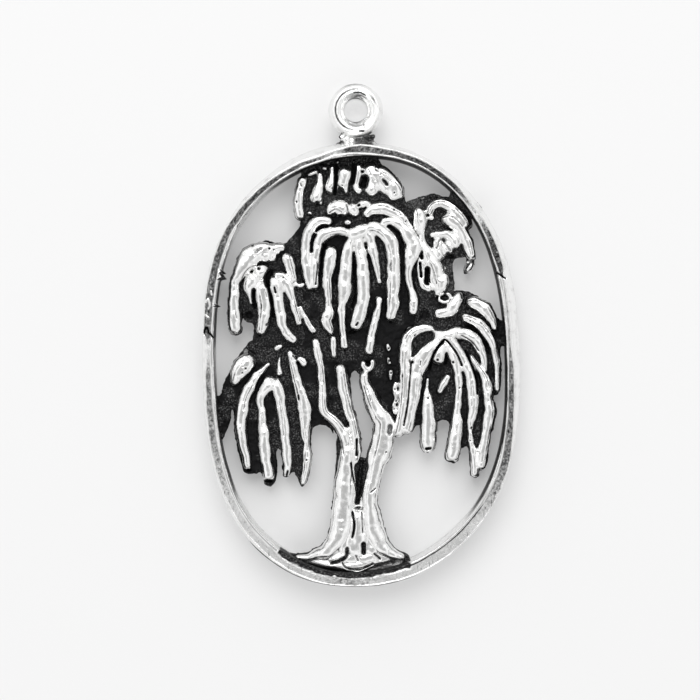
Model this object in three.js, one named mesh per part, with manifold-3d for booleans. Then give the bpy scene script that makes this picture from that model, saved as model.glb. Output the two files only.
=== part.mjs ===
// Cast silver pendant: a weeping willow standing inside an upright oval rim, hung by a ring.
//
// Millimetres, +Z up. The pendant lies face up with the back of its rim at z = 0, the crown of the
// tree towards +Y and the origin under the middle of its outline. It is one casting, kept here as
// separate solids for the ring, neck, rim, trunk, boughs and each mass of fronds.

import * as THREE from "three";
import { mergeVertices } from "three/addons/utils/BufferGeometryUtils.js";
import Module from "manifold-3d";

const wasm = await Module();
wasm.setup();

// ---------------------------------------------------------------------------------------------
// Driving dimensions
// ---------------------------------------------------------------------------------------------

const pendantHeight = 40.1; // foot of the rim to the crown of the ring
const foot = -pendantHeight / 2;

const rim = {
  halfWidth: 12.6,
  halfHeight: 17.6,
  squareness: 2.3, // exponent of the superellipse: 2 is a plain ellipse
  band: 1.0, // mean width of the band
  outerEase: 0.085, // mean distance of the outer edge outside that superellipse
  // The hand-made oval swells and dips by a few waves: [waves in a turn, size, bearing in degrees].
  waves: [[4, 0.08, -98], [6, 0.075, -169]],
  outerWaves: [[1, 0.108, -152], [2, 0.065, 14], [3, 0.094, -6], [5, 0.036, 77]],
  innerWaves: [[1, 0.09, 142], [2, 0.1, -3], [3, 0.035, -29], [5, 0.034, -45]],
  height: 3.0,
  bevel: 0.4, // width of the sloped outer edge
  bevelDrop: 0.9, // depth of the sloped outer edge
  steps: 64,
};
const rimMiddle = foot + rim.halfHeight;
const degree = Math.PI / 180;

const ring = {
  x: -0.42,
  outerRadius: 2.2,
  holeRadius: 0.92,
  height: 2.4,
  round: 0.35, // size of the rounded edges
  steps: 28,
};
const ringMiddle = foot + pendantHeight - ring.outerRadius;

const neck = { halfWidth: 1.4, waist: 1.0, height: 2.0 };

const trunk = {
  top: -12.0, // where the two stems part
  left: -2.05,
  right: 1.1,
  spread: 0.7, // how much further right the foot is than the top, before its flare
  leftFlare: 4.6,
  rightFlare: 2.6,
  flarePower: 10,
  flareFoot: -17.9, // where the roots are widest
  height: 2.7,
  stations: [-12, -14, -15.5, -16.3, -16.9, -17.3, -17.6, -17.9, -18.4],
  sheet: [[-6.7, -17.15], [-5.2, -17.65], [3.9, -17.9], [3.2, -19.6], [-4.8, -19.6]],
  slot: [[-0.4, -11.9], [0.22, -11.9], [0, -13.3], [-0.25, -13.85], [-0.48, -13.4]],
};

const treeBack = 0.4; // the tree's back lies this far inside the rim's
const webHeight = 1.5; // top of the sheet that backs the fronds
const frondHeight = 2.3; // top of the lowest fronds
const frondStep = 0.1; // fronds lie at three heights, this far apart
const boughHeight = 2.5;
const draft = 0.62; // width of a bar's top as a share of its foot
const stepLength = 1.7; // spacing of the sections along a bar
const gap = 0.06; // between neighbouring solids
const cutDepth = 1; // how far a cutting copy passes the faces that it cuts

const polishedSilver = { color: 0xd9d9d6, roughness: 0.28, metalness: 1.0 };
const antiquedSilver = { color: 0x9a9a97, roughness: 0.45, metalness: 1.0 };

// ---------------------------------------------------------------------------------------------
// The tree. A bar is a row of [x, y, width] from its root, over its shoulder, to its tip.
// ---------------------------------------------------------------------------------------------

const boughs = {
  left_bough: [
    [-3.6, -0.4, 0.4], [-3.2, -2.2, 0.45], [-3.2, -4.8, 0.5], [-2.6, -6.7, 0.6],
    [-1.5, -8.2, 0.8], [-1.15, -10.2, 1.25], [-1.25, -11.94, 1.5],
  ],
  centre_bough: [[-1.6, -2.4, 0.6], [-1.55, -4.2, 0.6], [-1.25, -6.2, 0.6], [-0.55, -8.4, 0.7]],
  right_bough: [
    [0.2, -3.05, 0.5], [0.9, -5.2, 0.8], [1.75, -7, 1.3], [1.65, -8.7, 1.35],
    [0.95, -10.6, 1.2], [0.7, -11.94, 0.95],
  ],
};

// The sheet behind each mass is a plain outline, less the windows that open through it. Where it
// meets the rim it runs on under the band, which trims it.
const masses = [
  {
    name: "crown_top",
    web: [
      [-4.9, 13.8], [-5.2, 11], [-5.1, 10.2], [-4.6, 9.35], [-3.3, 10.5], [3.5, 10.55],
      [3.1, 12], [2.1, 13.1], [1.3, 15], [-2, 15],
    ],
    fronds: [
      [[-4.5, 12.4, 0.5], [-4.95, 11, 0.6], [-4.6, 9.5, 0.5]],
      [[-3.3, 13.2, 0.35], [-3.45, 11.8, 0.8], [-3.8, 10.3, 0.9]],
      [[-2.4, 13.8, 0.35], [-2.35, 12.6, 0.65], [-2.5, 11.1, 0.7]],
      [[-1.3, 14, 0.7], [-1.4, 12.6, 0.8], [-1.4, 11.3, 0.75]],
      [[0.3, 13.7, 0.5], [-0.15, 12.4, 0.5], [0.35, 11.5, 0.6], [1, 11.6, 0.5]],
      [[0.8, 13.6, 0.6], [1.5, 12.3, 0.6], [3, 10.7, 0.55]],
      [[1.5, 13.6, 0.5], [2.6, 12.2, 0.7], [3.2, 10.7, 0.6]],
    ],
  },
  {
    name: "crown_middle",
    web: [
      [-3.2, 10.4], [-4.5, 9.2], [-3.9, 8.9], [-2.2, 9.3], [0.2, 8.9], [1.4, 9.4], [3, 9.1],
      [4.1, 7.9], [4.3, 9.6], [3.5, 10.45],
    ],
    fronds: [
      [[-2.8, 9.5, 0.6], [-2, 10.15, 0.7], [-1.15, 9.5, 0.6]],
      [[-1.2, 10.2, 0.6], [-0.6, 10, 0.6], [-0.45, 9.4, 0.5]],
      [[0.35, 9.4, 0.55], [1.8, 10.05, 0.6], [3.1, 9.6, 0.6], [4, 8.2, 0.55]],
    ],
  },
  {
    name: "crown_left",
    web: [
      [-4.5, 9.15], [-5.9, 7.3], [-5.3, 5], [-4.7, 4.2], [-4.65, 0.2], [-3.9, 0.2], [-3.3, -1.6],
      [-0.9, -1.6], [-0.5, 4.5], [-0.1, 8.9], [-2.2, 9.25],
    ],
    fronds: [
      [[-2, 8.95, 0.5], [-3.7, 8.85, 0.55], [-4.4, 7.2, 0.55], [-4.3, 5.4, 0.5], [-4, 3.7, 0.5]],
      [[-0.8, 8.1, 0.5], [-2.6, 8.3, 0.5], [-3.5, 7.4, 0.55], [-3.85, 5.4, 0.6], [-3.8, 3.7, 0.5]],
      [[-1.75, 7.9, 0.4], [-2.35, 6.7, 0.75], [-2.8, 4.4, 0.7], [-2.5, 1.2, 0.6], [-2.3, -1.7, 0.4]],
      [[-0.6, 8.2, 0.7], [-1.1, 6.4, 0.8], [-1.4, 4, 0.6], [-1.5, 1.4, 0.6], [-1.35, -1.5, 0.5]],
      [[-4.9, 2.3, 0.35], [-4.4, 1, 0.35], [-3.8, -0.1, 0.35]],
    ],
  },
  {
    name: "crown_right",
    web: [
      [-0.1, 8.85], [-0.45, 4.5], [-0.85, -1.6], [-0.9, -2.4], [0.1, -2.9], [2.3, -2.7],
      [3.3, -1.2], [3.6, 0.2], [4.5, 1.1], [4.6, 4.5], [4.6, 7.2], [3, 9.05], [1.4, 9.3],
    ],
    fronds: [
      [[-0.1, 8.2, 0.8], [0, 6, 0.95], [0.2, 3.3, 0.9], [-0.4, 1.3, 0.85], [-0.75, 0.2, 0.8]],
      [[0.3, 8.3, 0.4], [0.95, 6.8, 0.5], [1.4, 4, 0.35]],
      [[0.5, 8.75, 0.6], [1.7, 8.3, 0.75], [2.5, 6.6, 0.85], [2.65, 4, 0.85], [2.4, 1, 0.8]],
      [[1.6, 8.9, 0.5], [2.9, 8.8, 0.5], [3.9, 7.1, 0.9], [3.75, 5, 0.5], [4.2, 2.5, 0.5], [4.1, 1.3, 0.6]],
      [[1.5, 3.1, 0.45], [1.3, 2, 0.5], [0.8, -0.4, 0.6], [0.5, -2.3, 0.75]],
      [[2.1, -1, 0.3], [2.3, -2.2, 0.3], [2.45, -3.4, 0.3]],
    ],
  },
  {
    name: "crown_stems",
    web: [[-3.5, -1.65], [-3.4, -6], [-2.4, -7.3], [-0.9, -7.8], [-0.9, -1.65]],
    windows: [[[-2.75, -3], [-2.75, -4.8], [-2.4, -5.1], [-2.05, -4.8], [-2.05, -3]]],
    fronds: [[[-2.35, -1.7, 0.45], [-2.3, -2.4, 0.4]]],
  },
  {
    name: "upper_left_mass",
    web: [
      [-6, 7.15], [-7.5, 7.4], [-8.9, 7], [-9.8, 5.3], [-10.2, 3.2], [-9.55, 2.1], [-9.3, 1.1],
      [-8.6, 0.7], [-8.5, -0.6], [-4.9, -0.7], [-4.7, 1], [-4.75, 4.1], [-5.3, 5],
    ],
    fronds: [
      [[-6.3, 6.6, 1.1], [-8.2, 6.6, 1.1], [-9.7, 5.3, 0.85], [-10.2, 3.2, 0.8], [-10.05, 0.2, 0.75]],
      [[-6, 6.6, 0.6], [-5.5, 5.3, 0.6], [-5, 3.9, 0.55]],
      [[-7.9, 5.3, 0.5], [-7.45, 5.4, 0.5], [-7, 5, 0.5]],
      [[-8.6, 4.7, 0.5], [-9.1, 3.5, 0.5], [-8.8, 2.2, 0.3]],
      [[-8.1, 4.6, 0.8], [-7.9, 2.6, 0.8], [-7.75, -0.2, 0.65]],
      [[-6.9, 4.9, 0.8], [-6.6, 3, 0.7], [-6.2, 0.3, 0.6], [-5.2, -0.5, 0.5]],
      [[-6.1, 4.4, 0.5], [-5.5, 2.6, 0.45], [-5, 0.2, 0.45]],
    ],
  },
  {
    name: "lower_left_mass",
    web: [
      [-8.5, -0.65], [-9.2, -1], [-10.1, -2.3], [-11.1, -4.1], [-12, -4.9], [-12, -8.4],
      [-10.9, -8], [-10.4, -6.2], [-10.15, -8], [-9.5, -11], [-7.9, -11.1], [-7.5, -12],
      [-6, -11.2], [-4.7, -12], [-4, -11], [-3.95, -7.8], [-3.2, -7.2], [-2.6, -7.5],
      [-2, -8.3], [-3, -5.5], [-3.5, -1], [-3.95, 0.1], [-4.65, 0.1], [-4.85, -0.75],
    ],
    windows: [
      [[-7.35, -5.8], [-7.25, -8.5], [-6.95, -11.9], [-6.4, -11.9], [-6.65, -9], [-6.95, -5.9]],
    ],
    fronds: [
      [[-7.6, -1.6, 0.8], [-8.8, -1.9, 1.2], [-9.8, -2.9, 0.9], [-10.4, -4.2, 0.4]],
      [[-7.4, -2.4, 0.7], [-8.8, -3.9, 0.8], [-9.6, -6.4, 0.8], [-9.4, -9, 0.8], [-9.05, -10.9, 0.7]],
      [[-6.8, -3.3, 0.7], [-7.8, -4.6, 0.7], [-8, -6.5, 0.7], [-7.7, -9, 0.75], [-7.35, -12, 0.75]],
      [[-6.6, -3, 0.7], [-6.5, -5, 0.75], [-6.15, -8, 0.75], [-5.85, -11.3, 0.7]],
      [[-5.5, -1.3, 0.5], [-5.3, -3.2, 0.65], [-4.5, -7, 0.85], [-4.35, -9.4, 0.5], [-4.55, -12, 0.5]],
      [[-6.6, -0.9, 0.6], [-6.45, -2, 0.5], [-6.5, -3, 0.4]],
    ],
  },
  {
    name: "upper_right_mass",
    web: [
      [4.35, 7.4], [4.35, 9.65], [3.55, 10.5], [5.2, 11.1], [6.3, 11], [7.1, 12], [9.9, 10],
      [8.8, 9.2], [8.4, 6.3], [7.35, 5.9], [7.35, 3.5], [4.7, 3.4],
    ],
    fronds: [
      [[5.4, 9.6, 0.5], [6.4, 10.35, 0.7], [7.6, 9.85, 0.7], [8.6, 8.4, 0.7]],
      [[6.3, 8.95, 0.7], [7.3, 9, 0.8], [8.5, 7.4, 0.8], [8.75, 5.9, 0.5], [8.65, 5.2, 0.7]],
      [[5.8, 7.9, 0.5], [6.9, 7.8, 0.5], [7.45, 7.1, 0.45]],
      [[6.1, 7.4, 0.6], [6.2, 6.3, 0.75], [6.35, 4.2, 1.1]],
      [[4.55, 10.2, 0.7], [4.8, 8.8, 0.7], [5.25, 6.6, 0.7], [5.3, 5.8, 0.7]],
      [[4.6, 5.6, 0.4], [4.7, 4.8, 0.4], [5, 3.6, 0.4]],
      [[5.6, 5.6, 0.4], [5.7, 4.5, 0.45], [5.7, 3.6, 0.4]],
    ],
  },
  {
    name: "lower_right_outer",
    web: [
      [4.7, 3.3], [7.3, 3.4], [8.6, 3.3], [10, 2.4], [10.8, 1.1], [12, 1], [12, -1], [11.1, -1.2],
      [11, -4.7], [10.5, -5], [10.5, -8], [9.6, -10.6], [8.4, -9.4], [7.7, -9], [7.1, -7.2],
      [5.9, -7], [5.2, -3], [5.9, -0.6], [5.5, 0.9], [4.6, 1.1],
    ],
    fronds: [
      [[5.9, 1.7, 0.5], [6.9, 2, 0.55], [7.6, 3, 0.6]],
      [[8, 2.55, 0.6], [9.3, 2.5, 0.6], [10.3, 1.4, 0.5], [10.7, 0.4, 0.4]],
      [[7.6, 1.3, 0.6], [9.2, 1.1, 0.6], [10.5, -0.6, 0.55], [10.85, -2.6, 0.5], [10.85, -4.6, 0.4]],
      [[7.4, 0.6, 0.6], [8.8, -0.1, 0.8], [9.8, -1.7, 0.8], [9.9, -4.4, 0.7], [10.2, -7, 0.75], [9.3, -11.4, 0.7]],
      [[7.2, -0.3, 0.6], [8.3, -1.8, 0.7], [8.9, -4.5, 0.7], [8.8, -8.4, 0.6], [9.1, -11, 0.5]],
      [[7, -1.5, 0.8], [7.65, -3, 0.8], [7.7, -6, 0.5], [7.5, -8.5, 0.75], [7.15, -10.2, 0.8]],
    ],
  },
  {
    name: "lower_right_inner",
    web: [
      [3.6, 0.1], [4.5, 1], [5.6, 0.85], [5.95, -0.6], [5.25, -3], [5.85, -7], [5.3, -7.4],
      [4.5, -7.4], [3.7, -7.9], [2.5, -8.1], [2.6, -4], [3.3, -1.2],
    ],
    fronds: [
      [[6.1, 0.3, 0.7], [4.6, 0.3, 0.7], [3.65, -1, 0.65], [3.55, -4, 0.65], [2.8, -8, 0.6]],
      [[6.4, -0.3, 0.6], [5.2, -1.3, 0.7], [4.3, -4, 0.7], [3.6, -7.9, 0.65]],
      [[2.7, -3.9, 0.35], [2.7, -6.6, 0.35]],
      [[6.9, -1, 0.7], [6.2, -1.7, 0.75], [6.05, -2.4, 0.6]],
      [[6.9, -3.3, 0.4], [6.15, -4.6, 0.4]],
      [[5.35, -3.4, 0.7], [5.3, -5.4, 0.75], [5.5, -8, 0.9], [5.3, -9.5, 0.75]],
    ],
  },
];

// ---------------------------------------------------------------------------------------------
// Geometry helpers
// ---------------------------------------------------------------------------------------------

/** Manifold solid from a closed geometry. */
function solid(geometry) {
  geometry.deleteAttribute("normal");
  geometry.deleteAttribute("uv");
  const merged = mergeVertices(geometry, 1e-5);
  return new wasm.Manifold(new wasm.Mesh({
    numProp: 3,
    vertProperties: new Float32Array(merged.attributes.position.array),
    triVerts: new Uint32Array(merged.index.array),
  }));
}

/** Skin over equal rings of points. A row of rings gets flat ends, and a loop joins its ends. */
function loft(rings, loop = false) {
  const count = rings[0].length;
  const positions = rings.flat(2);
  const index = [];
  const spans = loop ? rings.length : rings.length - 1;
  for (let i = 0; i < spans; i += 1) {
    const here = i * count;
    const next = ((i + 1) % rings.length) * count;
    for (let j = 0; j < count; j += 1) {
      const k = (j + 1) % count;
      index.push(here + j, here + k, next + k, here + j, next + k, next + j);
    }
  }
  if (!loop) {
    const last = (rings.length - 1) * count;
    for (let j = 1; j < count - 1; j += 1) {
      index.push(0, j + 1, j, last, last + j, last + j + 1);
    }
  }
  const geometry = new THREE.BufferGeometry();
  geometry.setAttribute("position", new THREE.Float32BufferAttribute(positions, 3));
  geometry.setIndex(index);
  return solid(geometry);
}

/** Upright plate between two heights, from an outline of [x, y] points. */
function plate(outline, low, high) {
  const shape = new THREE.Shape(outline.map(([x, y]) => new THREE.Vector2(x, y)));
  const geometry = new THREE.ExtrudeGeometry(shape, { depth: high - low, bevelEnabled: false });
  return solid(geometry.translate(0, 0, low));
}

/** The outline with every side moved outwards by a distance. */
function widened(outline, distance) {
  const turn = Math.sign(THREE.ShapeUtils.area(outline.map(([x, y]) => new THREE.Vector2(x, y))));
  return outline.map(([x, y], i) => {
    const before = outline.at(i - 1);
    const after = outline[(i + 1) % outline.length];
    const into = new THREE.Vector2(x - before[0], y - before[1]).normalize();
    const away = new THREE.Vector2(after[0] - x, after[1] - y).normalize();
    const outward = new THREE.Vector2(into.y + away.y, -into.x - away.x).normalize();
    const reach = (turn * distance) / Math.max(0.5, outward.dot(new THREE.Vector2(into.y, -into.x)));
    return [x + outward.x * reach, y + outward.y * reach];
  });
}

/** Tapering bar with a drafted section along a row of [x, y, width] points. */
function bar(row, height, grow = 0) {
  const curve = new THREE.CatmullRomCurve3(row.map((point) => new THREE.Vector3(...point)));
  const steps = Math.max(2, Math.round(curve.getLength() / stepLength));
  const low = grow ? -cutDepth : treeBack;
  const high = grow ? height + cutDepth : height;
  const rings = [];
  for (let i = 0; i <= steps; i += 1) {
    const { x, y, z: width } = curve.getPointAt(i / steps);
    const heading = curve.getTangentAt(i / steps).setZ(0).normalize();
    const end = i === 0 ? -grow : i === steps ? grow : 0;
    const foot = width / 2 + grow;
    const top = grow ? foot : foot * draft;
    const place = (side, z) => [
      x + heading.x * end + heading.y * side,
      y + heading.y * end - heading.x * side,
      z,
    ];
    rings.push([place(-foot, low), place(-top, high), place(top, high), place(foot, low)]);
  }
  return loft(rings);
}

/** Point at a bearing on the rim's hand-made oval, moved in or out by a distance. */
function ovalPoint(angle, out, waves) {
  const power = 2 / rim.squareness;
  const c = Math.cos(angle);
  const s = Math.sin(angle);
  const swell = [...rim.waves, ...waves].reduce(
    (sum, [order, size, bearing]) => sum + size * Math.cos(order * angle - bearing * degree),
    out,
  );
  return [
    Math.sign(c) * (rim.halfWidth * Math.abs(c) ** power) + swell * c,
    rimMiddle + Math.sign(s) * (rim.halfHeight * Math.abs(s) ** power) + swell * s,
  ];
}

/** The largest connected piece of a solid. */
function mainPiece(whole) {
  return whole.decompose().reduce((a, b) => (a.volume() > b.volume() ? a : b));
}

// ---------------------------------------------------------------------------------------------
// Sub-parts. Each gives its solid, and a grown copy that trims its neighbours.
// ---------------------------------------------------------------------------------------------

/** Closed band of the rim, grown on every side by a distance. */
function makeRim(grow = 0) {
  const low = grow ? -cutDepth : 0;
  const high = grow ? rim.height + cutDepth : rim.height;
  const bevel = grow ? 0 : rim.bevel;
  const ledge = high - (grow ? cutDepth / 2 : rim.bevelDrop);
  const outerEdge = rim.outerEase + grow;
  const innerEdge = rim.outerEase - rim.band - grow;
  const rings = [];
  for (let i = 0; i < rim.steps; i += 1) {
    const angle = (2 * Math.PI * i) / rim.steps;
    const outside = ovalPoint(angle, outerEdge, rim.outerWaves);
    const shoulder = ovalPoint(angle, outerEdge - bevel, rim.outerWaves);
    const inside = ovalPoint(angle, innerEdge, rim.innerWaves);
    rings.push([
      [...inside, low],
      [...inside, high],
      [...shoulder, high],
      [...outside, ledge],
      [...outside, low],
    ]);
  }
  return loft(rings, true);
}

/** Round hanging ring, its hole square to the face. */
function makeRing(grow = 0) {
  const outer = ring.outerRadius + grow;
  const hole = ring.holeRadius;
  const low = grow ? -cutDepth : 0;
  const high = grow ? ring.height + cutDepth : ring.height;
  const profile = [
    [hole, low],
    [outer, low],
    [outer, high - ring.round],
    [outer - ring.round, high],
    [hole + ring.round, high],
    [hole, high - ring.round],
    [hole, low],
  ].map(([radius, z]) => new THREE.Vector2(radius, z));
  const geometry = new THREE.LatheGeometry(profile, ring.steps);
  return solid(geometry.rotateX(Math.PI / 2).translate(ring.x, ringMiddle, 0));
}

/** Waisted block between the ring and the rim, before they trim it. */
function makeNeck() {
  const low = rimMiddle + rim.halfHeight - rim.band / 2;
  const high = ringMiddle - ring.outerRadius / 2;
  const outline = [
    [ring.x - neck.halfWidth, low],
    [ring.x + neck.halfWidth + 0.3, low],
    [ring.x + neck.waist, (low + high) / 2],
    [ring.x + neck.halfWidth, high],
    [ring.x - neck.halfWidth, high],
    [ring.x - neck.waist, (low + high) / 2],
  ];
  return plate(outline, 0, neck.height);
}

/** Trunk from the parting of its stems down to the flare of its roots, and the sheet below. */
function makeTrunk(grow = 0) {
  const low = grow ? -cutDepth : treeBack;
  const high = grow ? trunk.height + cutDepth : trunk.height;
  const rings = trunk.stations.map((station, i) => {
    const y = i === 0 ? station + grow : station;
    const fall = Math.min(1, (trunk.top - station) / (trunk.top - trunk.flareFoot));
    const flare = fall ** trunk.flarePower;
    const left = trunk.left - trunk.leftFlare * flare - grow;
    const right = trunk.right + trunk.spread * fall + trunk.rightFlare * flare + grow;
    const slope = grow ? 0 : ((right - left) * (1 - draft)) / 6;
    return [[right, y, low], [right - slope, y, high], [left + slope, y, high], [left, y, low]];
  });
  const sheet = plate(grow ? widened(trunk.sheet, grow) : trunk.sheet, low, grow ? high : webHeight);
  const whole = loft(rings).add(sheet);
  if (grow) return whole;
  return whole.subtract(plate(trunk.slot, -cutDepth, trunk.height + cutDepth));
}

/** Mass of fronds on its backing sheet, or the grown copy of it. */
function makeMass({ web, windows = [], fronds }, grow = 0) {
  const low = grow ? -cutDepth : treeBack;
  const high = grow ? webHeight + cutDepth * 2 : webHeight;
  let sheet = plate(grow ? widened(web, grow) : web, low, high);
  for (const window of windows) {
    if (!grow) sheet = sheet.subtract(plate(window, -cutDepth, webHeight + cutDepth));
  }
  return fronds.reduce(
    (whole, row, i) => whole.add(bar(row, frondHeight + frondStep * (i % 3), grow)),
    sheet,
  );
}

// ---------------------------------------------------------------------------------------------
// Assembly: what comes first trims what comes after it
// ---------------------------------------------------------------------------------------------

const pendant = new THREE.Group();
pendant.name = "willow_pendant";
let taken = makeRim(gap).add(makeRing(gap));

/** Adds a solid to the pendant as a named mesh with its own material. */
function addMesh(name, whole, finish) {
  const { vertProperties, triVerts } = whole.getMesh();
  const geometry = new THREE.BufferGeometry();
  geometry.setAttribute("position", new THREE.Float32BufferAttribute(vertProperties, 3));
  geometry.setIndex([...triVerts]);
  geometry.computeVertexNormals();
  const mesh = new THREE.Mesh(geometry, new THREE.MeshStandardMaterial(finish));
  mesh.name = name;
  pendant.add(mesh);
}

/** Adds a solid trimmed by all that is there, and lets its grown copy trim what follows. */
function addTrimmed(name, whole, grown, finish) {
  addMesh(name, mainPiece(whole.subtract(taken)), finish);
  taken = taken.add(grown);
}

addMesh("rim", makeRim(), polishedSilver);
addMesh("hanging_ring", makeRing(), polishedSilver);
addMesh("ring_neck", mainPiece(makeNeck().subtract(taken)), polishedSilver);
addTrimmed("trunk", makeTrunk(), makeTrunk(gap), polishedSilver);
for (const [name, row] of Object.entries(boughs)) {
  addTrimmed(name, bar(row, boughHeight), bar(row, boughHeight, gap), polishedSilver);
}
for (const mass of masses) {
  addTrimmed(mass.name, makeMass(mass), makeMass(mass, gap), antiquedSilver);
}

export default pendant;
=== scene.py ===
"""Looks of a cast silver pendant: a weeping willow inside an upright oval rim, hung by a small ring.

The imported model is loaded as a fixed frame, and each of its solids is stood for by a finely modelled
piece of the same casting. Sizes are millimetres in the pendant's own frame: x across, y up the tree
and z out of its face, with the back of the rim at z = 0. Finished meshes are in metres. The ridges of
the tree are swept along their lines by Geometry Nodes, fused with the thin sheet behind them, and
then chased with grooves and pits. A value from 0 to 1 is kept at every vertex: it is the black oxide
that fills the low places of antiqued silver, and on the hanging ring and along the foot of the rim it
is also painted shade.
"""

import logging
import math
from dataclasses import dataclass, field
from enum import Enum
from typing import ClassVar, Union

import bpy
import numpy as np
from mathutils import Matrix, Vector


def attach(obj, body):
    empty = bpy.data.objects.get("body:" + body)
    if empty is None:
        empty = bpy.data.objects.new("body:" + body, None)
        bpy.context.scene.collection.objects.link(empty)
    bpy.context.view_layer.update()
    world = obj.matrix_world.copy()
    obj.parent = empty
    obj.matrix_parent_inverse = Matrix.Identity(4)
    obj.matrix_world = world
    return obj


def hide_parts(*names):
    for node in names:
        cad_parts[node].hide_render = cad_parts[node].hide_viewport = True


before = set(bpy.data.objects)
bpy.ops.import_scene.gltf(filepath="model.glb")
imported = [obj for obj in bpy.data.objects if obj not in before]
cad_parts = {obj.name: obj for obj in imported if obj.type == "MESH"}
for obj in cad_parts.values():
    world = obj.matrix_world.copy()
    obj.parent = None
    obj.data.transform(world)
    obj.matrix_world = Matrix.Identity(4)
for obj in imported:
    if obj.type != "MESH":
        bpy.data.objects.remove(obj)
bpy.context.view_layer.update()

MM = 0.001
BODY = "root"
PATINA_AND_SHADE = "patina_and_shade"

log = logging.getLogger("pendant")

Array = np.ndarray
Point = tuple[float, float]
Span = tuple[float, float]
Triple = tuple[float, float, float]
Socket = bpy.types.NodeSocket
Feed = Union[Socket, float, str, Triple]


class Layer(float, Enum):
    """Heights of the casting's levels above the back of the rim, in millimetres."""

    TREE_BACK = 0.4
    SHEET = 1.5
    RING = 2.4
    RIM = 3.0


# Numbers: noise, distances and smooth steps over many points at once

NOISE_PRIMES = (73856093, 19349663, 83492791)
NOISE_VALUES = 4096  # a power of two
NOISE_SHIFT = 100.0  # keeps every cell's number positive


def smooth_step(value: Array, low: float, high: float) -> Array:
    """Ease from 0 at low to 1 at high.

    Args:
        value: The numbers to ease.
        low: Where the result is 0.
        high: Where the result is 1; it may be less than low.

    Returns:
        One number from 0 to 1 for each value.
    """
    share = np.clip((value - low) / (high - low), 0.0, 1.0)
    return share * share * (3.0 - 2.0 * share)


def plateau(value: Array, span: Span, ease: float) -> Array:
    """1 inside the span and 0 outside it, eased over a length at both of its ends."""
    first, last = span
    return smooth_step(value, first, first + ease) * smooth_step(value, last, last - ease)


def quarter_round(share: Array) -> Array:
    """Rise from 0 to 1 as a quarter of a circle does, while share goes from 0 to 1."""
    return np.sqrt(np.clip(1.0 - (1.0 - np.clip(share, 0, 1)) ** 2, 0, 1))


def hump(value: Array, middle: float, spread: float) -> Array:
    """A bell curve: 1 where the value is at the middle, and near 0 two spreads away."""
    return np.exp(-(((value - middle) / spread) ** 2))


def cell_noise(points: Array, cell: float, seed: int) -> Array:
    """Smooth random numbers that change over one cell's length.

    Args:
        points: An N by 3 array of places.
        cell: Length over which the noise changes, in the points' units.
        seed: Picks one of many patterns.

    Returns:
        N numbers from -1 to 1.
    """
    table = np.random.default_rng(seed).uniform(-1.0, 1.0, NOISE_VALUES)
    scaled = points / cell + NOISE_SHIFT
    corner = np.floor(scaled).astype(np.int64)
    share = smooth_step(scaled - corner, 0.0, 1.0)
    total = np.zeros(len(points))
    for step in range(8):
        offset = np.array([step & 1, step >> 1 & 1, step >> 2 & 1])
        x, y, z = ((corner + offset) * NOISE_PRIMES).T
        weight = np.where(offset == 1, share, 1.0 - share).prod(axis=1)
        total += table[(x ^ y ^ z) & (NOISE_VALUES - 1)] * weight
    return total


def rough_noise(points: Array, cell: float, seed: int, octaves: int = 3) -> Array:
    """Several layers of cell noise, each half the size and half the strength of the last.

    Args:
        points: An N by 3 array of places.
        cell: Size of the largest bumps.
        seed: Picks the pattern.
        octaves: Number of layers.

    Returns:
        N numbers from about -1 to 1.
    """
    total = np.zeros(len(points))
    for octave in range(octaves):
        total += cell_noise(points, cell / 2**octave, seed + octave) / 2**octave
    return total / (2.0 - 2.0 ** (1 - octaves))


@dataclass(frozen=True)
class Bumps:
    """A kind of random bumps: the size of the largest, how strong they are, and their pattern."""

    size: float
    strength: float
    pattern: int = 0
    octaves: int = 2

    def over(self, places: Array, seed: int) -> Array:
        """The bumps' strength at each place, for a piece with a seed of its own."""
        return rough_noise(places, self.size, seed + self.pattern, self.octaves) * self.strength


def smooth_line(corners: list[Point], spacing: float, closed: bool = False) -> Array:
    """Catmull-Rom curve through the corners.

    Args:
        corners: Two or more points in the plane.
        spacing: Rough distance between the points of the result.
        closed: Whether the curve joins back to its start.

    Returns:
        An N by 2 array of points along the curve.
    """
    row = np.array(corners, float)
    if closed:
        row = np.vstack([row[-1:], row, row[:2]])
    else:
        row = np.vstack([2 * row[0] - row[1], row, 2 * row[-1] - row[-2]])
    pieces = []
    for before, start, end, after in zip(row, row[1:], row[2:], row[3:]):
        count = max(2, int(np.ceil(np.linalg.norm(end - start) / spacing)))
        t = (np.arange(count) / count)[:, None]
        bend = 2 * before - 5 * start + 4 * end - after
        twist = 3 * start - before - 3 * end + after
        pieces.append(0.5 * (2 * start + (end - before) * t + bend * t**2 + twist * t**3))
    if not closed:
        pieces.append(row[-2:-1])
    return np.vstack(pieces)


def distance_to_line(points: Array, line: Array) -> Array:
    """Distance from each point to a line of straight steps, or to a single point.

    Args:
        points: An N by 2 array of places.
        line: An M by 2 array, the line's own points.

    Returns:
        N distances.
    """
    if len(line) == 1:
        return np.linalg.norm(points - line[0], axis=1)
    best = np.full(len(points), np.inf)
    for start, end in zip(line, line[1:]):
        step = end - start
        share = np.clip((points - start) @ step / max(step @ step, 1e-12), 0.0, 1.0)
        best = np.minimum(best, np.linalg.norm(points - start - share[:, None] * step, axis=1))
    return best


# Objects and node trees


def placed(name: str, data: bpy.types.ID) -> bpy.types.Object:
    """Make an object of some data and put it in the scene."""
    made = bpy.data.objects.new(name, data)
    bpy.context.scene.collection.objects.link(made)
    return made


def flattened(holder: bpy.types.Object) -> bpy.types.Mesh:
    """Make a plain mesh of an object as its modifiers leave it, and remove the object.

    Args:
        holder: The object to use up.

    Returns:
        The mesh.
    """
    graph = bpy.context.evaluated_depsgraph_get()
    made = bpy.data.meshes.new_from_object(holder.evaluated_get(graph))
    holder.modifiers.clear()
    bpy.data.objects.remove(holder)
    return made


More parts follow.
